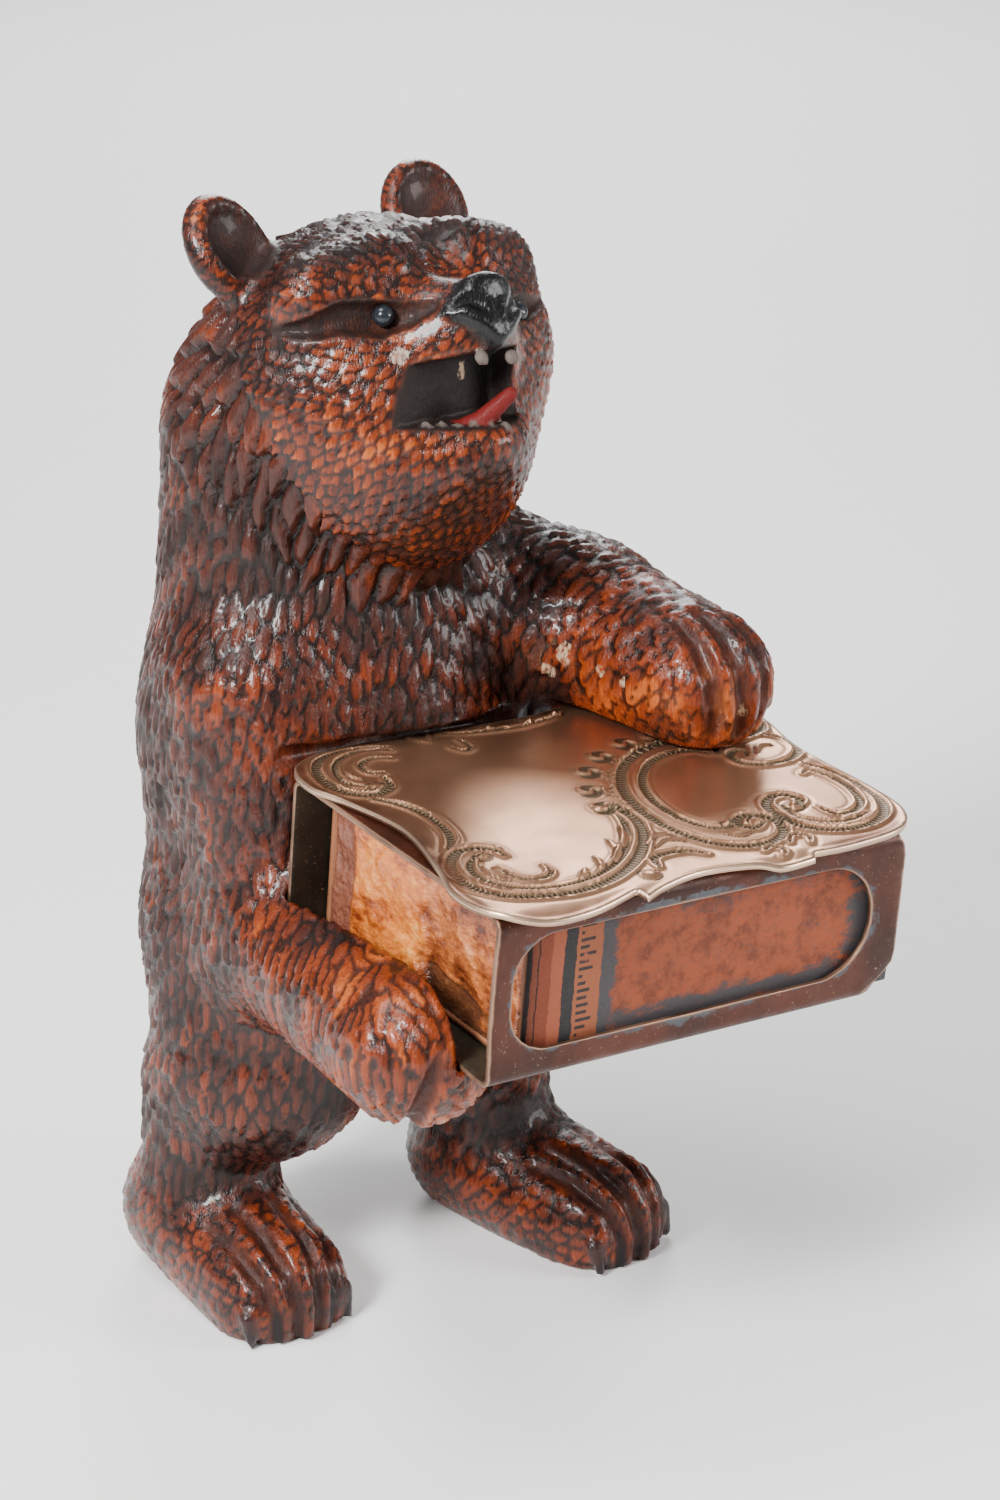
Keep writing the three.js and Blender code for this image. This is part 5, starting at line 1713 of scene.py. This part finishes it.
def bronze_sheet(settings):
    """Satin bronze, dark in its channels and bright on its raised lines."""
    f = Finish("bronze_sheet")
    cloud, brush, speck = f.noise(9, 3), f.noise(0.5, 2, (0.15, 1, 1)), f.noise(0.3, 2)
    sunk, run, rim = (f.corner_value(name) for name in ("sunk", "rib_run", "to_rim"))
    bronze = tuple(settings.bronze_colour)
    rib = f.span(f.math("SINE", f.times(run, 2 * np.pi / RIB_STEP)), -0.3, 0.6)
    bright = f.mix(f.span(cloud, 0.3, 0.7), bronze, [c * 0.86 for c in bronze])
    channel = f.mix(rib, CHANNEL_FLOOR, CHANNEL_RIB)
    colour = f.mix(f.span(sunk, 0.25, 0.8), bright, channel)
    edge = f.times(f.span(rim, 0.3, 3.2, 1, 0), f.span(cloud, 0.42, 0.62))
    colour = f.mix(edge, colour, BROWN_RIM)
    colour = f.mix(f.span(speck, 0.68, 0.75, 0, 0.6), colour, BRONZE_SPECK)
    colour = f.mix(f.span(rim, 0.0, 0.5, 0.6, 0), colour, RIM_EDGE)
    rough = f.plus(f.span(cloud, 0.3, 0.7, 0.29, 0.38), f.times(sunk, 0.2))
    relief = f.plus(f.times(rib, sunk), f.times(brush, 0.05))
    return f.made(base_color=colour, metallic=0.95, roughness=rough, normal=f.bump(relief, 0.12, 0.6))


# Colours of the cover's card, print and striking strip
CARD_COLOUR, SMUDGE_GREY = (0.23, 0.07, 0.032), (0.05, 0.044, 0.046)
INK, WORN_STRIKER, RUBBED_STRIKER = (0.025, 0.02, 0.02), (0.17, 0.065, 0.04), (0.09, 0.026, 0.014)
PLAIN_CARD = (0.2, 0.07, 0.035), (0.32, 0.13, 0.06)

# The printed bands, by where each starts along the holder in millimetres
BANDS_FROM, BANDS_OVER = 4.0, 50.0
PRINTED_BANDS = (
    (4, (0.012, 0.008, 0.007)), (5.1, (0.12, 0.028, 0.013)), (5.9, (0.02, 0.008, 0.005)),
    (6.1, (0.15, 0.033, 0.015)), (7.6, (0.24, 0.062, 0.03)), (9.2, (0.022, 0.02, 0.02)),
    (10.7, CARD_COLOUR), (14.1, SMUDGE_GREY),
)
STRIP_START, STRIP_END = 15.4, 49.2
STROKE_STEP = 0.85


def plain_strokes(f, x, z):
    """A column of short strokes of uneven length across the card's light band."""
    row = f.math("DIVIDE", z, STROKE_STEP)
    number = f.math("FLOOR", row)
    pick = f.node("TexWhiteNoise", {"W": number}, noise_dimensions="1D").outputs["Value"]
    stroke = f.span(f.math("FRACT", row), 0.42, 0.5, 1, 0)
    reach = f.plus(11.7, f.times(pick, 1.8))
    ends = f.times(f.span(x, 11.2, 11.35), f.span(f.math("SUBTRACT", reach, x), 0, 0.15))
    return f.times(stroke, ends)


def printed_card(settings):
    """The printed cover, with a worn striking strip and a column of plain strokes."""
    f = Finish("printed_card")
    x, z, side = (f.corner_value(name) for name in ("box_x", "box_z", "striker"))
    cloud, spots, grit = f.noise(4, 4), f.noise(1.3, 4, roughness=0.65), f.noise(0.28, 2, roughness=0.7)
    wavy = f.plus(x, f.times(f.math("SUBTRACT", spots, 0.5), 0.7))
    share = f.math("DIVIDE", f.math("SUBTRACT", wavy, BANDS_FROM), BANDS_OVER)
    striker = tuple(settings.striker_colour)
    bands = (*PRINTED_BANDS, (STRIP_START, striker), (STRIP_END, SMUDGE_GREY))
    stops = [((start - BANDS_FROM) / BANDS_OVER, colour) for start, colour in bands]
    printed = f.ramp(share, stops, "CONSTANT")
    stroke = f.times(plain_strokes(f, x, z), f.span(spots, 0.3, 0.42))
    printed = f.mix(stroke, printed, INK)
    on_strip = f.times(f.span(x, 15.6, 16.4), f.span(x, 48.6, 49.4, 1, 0))
    printed = f.mix(f.times(on_strip, f.span(grit, 0.45, 0.62, 0, 0.75)), printed, WORN_STRIKER)
    level = f.math("ABSOLUTE", f.math("SUBTRACT", z, 10.3))
    low_edge = f.times(f.span(level, 4.0, 6.2), f.span(z, 12, 9, 0.45, 1))
    ends = f.math("MAXIMUM", f.span(x, 45.5, 48.8), f.span(x, 16.8, 15.4))
    border = f.math("MAXIMUM", low_edge, ends)
    streaks = f.noise(2.4, 5, (0.5, 0.5, 1.6), 0.7)
    stain = f.plus(streaks, f.times(f.noise(0.55, 4, roughness=0.75), 0.4))
    smudge = f.span(f.plus(f.times(border, 0.36), stain), 0.76, 1.06)
    mottled = f.times(on_strip, f.span(f.noise(2.6, 5, roughness=0.75), 0.42, 0.66, 0, 0.8))
    printed = f.mix(mottled, printed, RUBBED_STRIKER)
    printed = f.mix(f.times(smudge, f.span(x, 15.0, 15.6)), printed, SMUDGE_GREY)
    colour = f.mix(side, f.mix(cloud, *PLAIN_CARD), printed)
    relief = f.plus(grit, f.times(cloud, 2))
    return f.made(
        base_color=colour, roughness=f.span(grit, 0.3, 0.7, 0.5, 0.8),
        specular_ior_level=0.2, normal=f.bump(relief, 0.1, 0.6),
    )


# Colours of the paper and its flap, from their dark spots to their light ones
INNER_DARK, INNER_BROWN = (0.05, 0.010, 0.004), (0.2, 0.045, 0.012)
INNER_LIGHT, INNER_PALE = (0.46, 0.13, 0.03), (0.66, 0.33, 0.15)
FLAP_DARK, FLAP_LIGHT, FLAP_PALE = (0.14, 0.022, 0.004), (0.66, 0.2, 0.028), (0.8, 0.4, 0.11)
STRIP_PAPER = (0.1, 0.026, 0.014), (0.28, 0.1, 0.06)
PAINTED_PAPER_SHADE = (0.045, 0.02, 0.012)


def paper_wrap(settings):
    """Crumpled amber paper, glossy with varnish."""
    f = Finish("paper_wrap")
    y, fold, flap = (f.corner_value(name) for name in ("box_y", "fold", "flap"))
    cloud, streak = f.noise(4.5, 4, roughness=0.6), f.noise(1.4, 4, (1, 1, 2.2), 0.65)
    spots = f.noise(0.5, 3)
    amber = tuple(settings.wrap_colour)
    tone = f.plus(f.times(cloud, 0.6), f.times(streak, 0.4))
    inner = f.ramp(tone, [(0.34, INNER_DARK), (0.45, INNER_BROWN), (0.56, INNER_LIGHT), (0.68, INNER_PALE)])
    outer = f.ramp(tone, [(0.36, FLAP_DARK), (0.46, amber), (0.57, FLAP_LIGHT), (0.7, FLAP_PALE)])
    colour = f.mix(flap, inner, outer)
    strip = f.span(f.plus(y, f.times(streak, 2)), 34, 35.2)
    colour = f.mix(strip, colour, f.mix(spots, *STRIP_PAPER))
    # Painted shade where the paper is pressed in: its creases, its tucked-in foot and its edges
    colour = f.mix(f.span(fold, -0.1, -0.4, 0, 0.8), colour, PAINTED_PAPER_SHADE)
    rough = f.span(spots, 0.3, 0.7, 0.16, 0.36)
    relief = f.plus(f.times(streak, 1.8), spots)
    return f.made(
        base_color=colour, roughness=rough, normal=f.bump(relief, 0.2, 0.9),
        coat_weight=0.3, coat_roughness=0.08,
    )


def pale_floor(settings):
    f = Finish("pale_floor")
    pale = tuple(settings.floor_colour)
    colour = f.mix(f.noise(60, 2), pale, [c * 0.985 for c in pale])
    return f.made(base_color=colour, roughness=0.6)


# Stage

FLOOR_REACH = 3.0
STAGE_MIDDLE = (0, 0, 0.065)
LIGHTS = (
    # name, place, size, share of the light
    ("key", (-0.62, -0.14, 0.52), (0.2, 0.2), 1.1),
    ("fill", (0.5, -0.5, 0.3), (0.3, 0.3), 0.42),
    ("top", (-0.25, 0.1, 0.78), (0.3, 0.3), 0.3),
    ("rim", (0.5, 0.6, 0.4), (0.3, 0.4), 0.34),
)

# The camera: the angles that it looks from, its place in the bear's own frame, and its lens
AZIMUTH, ELEVATION = -40.0, 22.0
CAMERA_PLACE = (-273.8, -355.1, 244.6)
SENSOR, FOCAL_LENGTH = 36, 100


def set_floor(settings):
    mesh = bpy.data.meshes.new("floor")
    s = FLOOR_REACH
    mesh.from_pydata([(-s, -s, 0), (s, -s, 0), (s, s, 0), (-s, s, 0)], [], [(0, 1, 2, 3)])
    floor = bpy.data.objects.new("floor", mesh)
    mesh.materials.append(pale_floor(settings))
    bpy.context.scene.collection.objects.link(floor)


def set_lights(settings):
    """The even light all round and the soft lamps, turned to the middle."""
    scene = bpy.context.scene
    world = bpy.data.worlds.new("studio")
    world.use_nodes = True
    background = world.node_tree.nodes["Background"]
    background.inputs["Color"].default_value = (1, 1, 1, 1)
    background.inputs["Strength"].default_value = settings.surround
    scene.world = world
    middle = Vector(STAGE_MIDDLE)
    for name, place, size, share in LIGHTS:
        light = bpy.data.lights.new(name, "AREA")
        light.shape = "RECTANGLE"
        light.size, light.size_y = size
        light.energy = settings.light * share
        lamp = bpy.data.objects.new(name, light)
        lamp.location = place
        lamp.rotation_euler = (middle - Vector(place)).to_track_quat("-Z", "Y").to_euler()
        scene.collection.objects.link(lamp)


def set_camera():
    """An upright camera that looks down on the bear from its right front."""
    scene = bpy.context.scene
    az, el = np.radians([AZIMUTH, ELEVATION])
    back = np.array([np.sin(az) * np.cos(el), -np.cos(az) * np.cos(el), np.sin(el)])
    right = np.array([np.cos(az), np.sin(az), 0])
    up = np.cross(back, right)
    lens = bpy.data.cameras.new("camera")
    lens.sensor_width, lens.lens = SENSOR, FOCAL_LENGTH
    lens.clip_start, lens.clip_end = 0.05, 10
    camera = bpy.data.objects.new("camera", lens)
    turn = Matrix(np.array([right, up, back]).T.tolist()).to_4x4()
    camera.matrix_world = Matrix.Translation((np.array(CAMERA_PLACE) + SHIFT) * MM) @ turn
    scene.collection.objects.link(camera)
    scene.camera = camera


# The add-on's settings, operators and panel

def colour_setting(name, description, default):
    return FloatVectorProperty(
        name=name, description=description, default=default, subtype="COLOR", min=0, max=1
    )


class BearSettings(bpy.types.PropertyGroup):
    mesh_step: FloatProperty(
        name="Mesh step", description="Step of the carved surface's mesh",
        default=0.745 * MM, unit="LENGTH",
    )
    fur_depth: FloatProperty(
        name="Fur depth", description="Depth of the carved fur, as a share of its own",
        default=1.0, subtype="FACTOR",
    )
    gloss: FloatProperty(
        name="Gloss", description="Weight of the varnish", default=0.2, subtype="FACTOR"
    )
    wood_colour: colour_setting("Wood", "Colour of the stained wood", (0.052, 0.011, 0.006))
    worn_colour: colour_setting("Worn wood", "Colour of the worn tops", (0.19, 0.029, 0.005))
    groove_colour: colour_setting("Cuts", "Colour of the cuts between locks", (0.008, 0.0042, 0.0036))


class HolderSettings(bpy.types.PropertyGroup):
    relief: FloatProperty(
        name="Relief", description="Height of the scrolls, as a share of their own",
        default=1.0, subtype="FACTOR",
    )
    sheet_colour: colour_setting("Sheet", "Colour of the browned sheet", (0.07, 0.016, 0.0065))
    bronze_colour: colour_setting("Bronze", "Colour of the top plate", (0.58, 0.31, 0.18))


class MatchboxSettings(bpy.types.PropertyGroup):
    crumple: FloatProperty(
        name="Crumple", description="Depth of the creases in the wrap",
        default=0.42 * MM, unit="LENGTH",
    )
    striker_colour: colour_setting("Striker", "Colour of the striking strip", (0.25, 0.05, 0.016))
    wrap_colour: colour_setting("Wrap", "Colour of the amber paper", (0.46, 0.105, 0.014))


class StageSettings(bpy.types.PropertyGroup):
    surround: FloatProperty(
        name="Surround", description="Strength of the light all round", default=0.38
    )
    light: FloatProperty(
        name="Light", description="Power of the key light", default=12.0, unit="POWER"
    )
    floor_colour: colour_setting("Floor", "Colour of the floor", (0.9, 0.89, 0.88))


SETTINGS = (
    ("carved_bear", BearSettings),
    ("match_holder", HolderSettings),
    ("matchbox", MatchboxSettings),
    ("bear_stage", StageSettings),
)


class SetStage(bpy.types.Operator):
    """Sets the floor, the lights and the camera"""
    bl_idname = "carved_bear.stage"
    bl_label = "Set the stage"

    def execute(self, context):
        set_floor(context.scene.bear_stage)
        set_lights(context.scene.bear_stage)
        set_camera()
        return {"FINISHED"}


class CarveBear(bpy.types.Operator):
    """Carves the bear with its face, claws and fur"""
    bl_idname = "carved_bear.bear"
    bl_label = "Carve the bear"

    def execute(self, context):
        carve_bear(context.scene.carved_bear)
        return {"FINISHED"}


class SetBeads(bpy.types.Operator):
    """Sets the two eye beads"""
    bl_idname = "carved_bear.beads"
    bl_label = "Set the eye beads"

    def execute(self, context):
        set_beads(context.scene.carved_bear)
        return {"FINISHED"}


class BendSleeve(bpy.types.Operator):
    """Bends the sheet-metal sleeve with its window"""
    bl_idname = "carved_bear.sleeve"
    bl_label = "Bend the sleeve"

    def execute(self, context):
        bend_sleeve(context.scene.match_holder)
        return {"FINISHED"}


class EmbossPlate(bpy.types.Operator):
    """Presses the plate on top of the sleeve into scrolls"""
    bl_idname = "carved_bear.plate"
    bl_label = "Emboss the plate"

    def execute(self, context):
        emboss_plate(context.scene.match_holder)
        return {"FINISHED"}


class FoldMatchbox(bpy.types.Operator):
    """Folds the matchbox's cover and its wrapped tray"""
    bl_idname = "carved_bear.matchbox"
    bl_label = "Fold the matchbox"

    def execute(self, context):
        fold_cover(context.scene.matchbox)
        wrap_tray(context.scene.matchbox)
        return {"FINISHED"}


OPERATORS = (SetStage, BendSleeve, EmbossPlate, FoldMatchbox, SetBeads, CarveBear)


class CarvedBearPanel(bpy.types.Panel):
    bl_idname = "VIEW3D_PT_carved_bear"
    bl_label = "Carved Bear Match Holder"
    bl_space_type = "VIEW_3D"
    bl_region_type = "UI"
    bl_category = "Carved Bear"

    def draw(self, context):
        for operator in OPERATORS:
            self.layout.operator(operator.bl_idname)
        for name, group in SETTINGS:
            box = self.layout.box()
            for setting in group.__annotations__:
                box.prop(getattr(context.scene, name), setting)


def register():
    for name, group in SETTINGS:
        bpy.utils.register_class(group)
        setattr(bpy.types.Scene, name, PointerProperty(type=group))
    for kind in (*OPERATORS, CarvedBearPanel):
        bpy.utils.register_class(kind)


def unregister():
    for kind in (CarvedBearPanel, *reversed(OPERATORS)):
        bpy.utils.unregister_class(kind)
    for name, group in reversed(SETTINGS):
        delattr(bpy.types.Scene, name)
        bpy.utils.unregister_class(group)


def main():
    register()
    bpy.ops.carved_bear.stage()
    bpy.ops.carved_bear.sleeve()
    bpy.ops.carved_bear.plate()
    bpy.ops.carved_bear.matchbox()
    bpy.ops.carved_bear.beads()
    bpy.ops.carved_bear.bear()


if __name__ == "__main__":
    main()
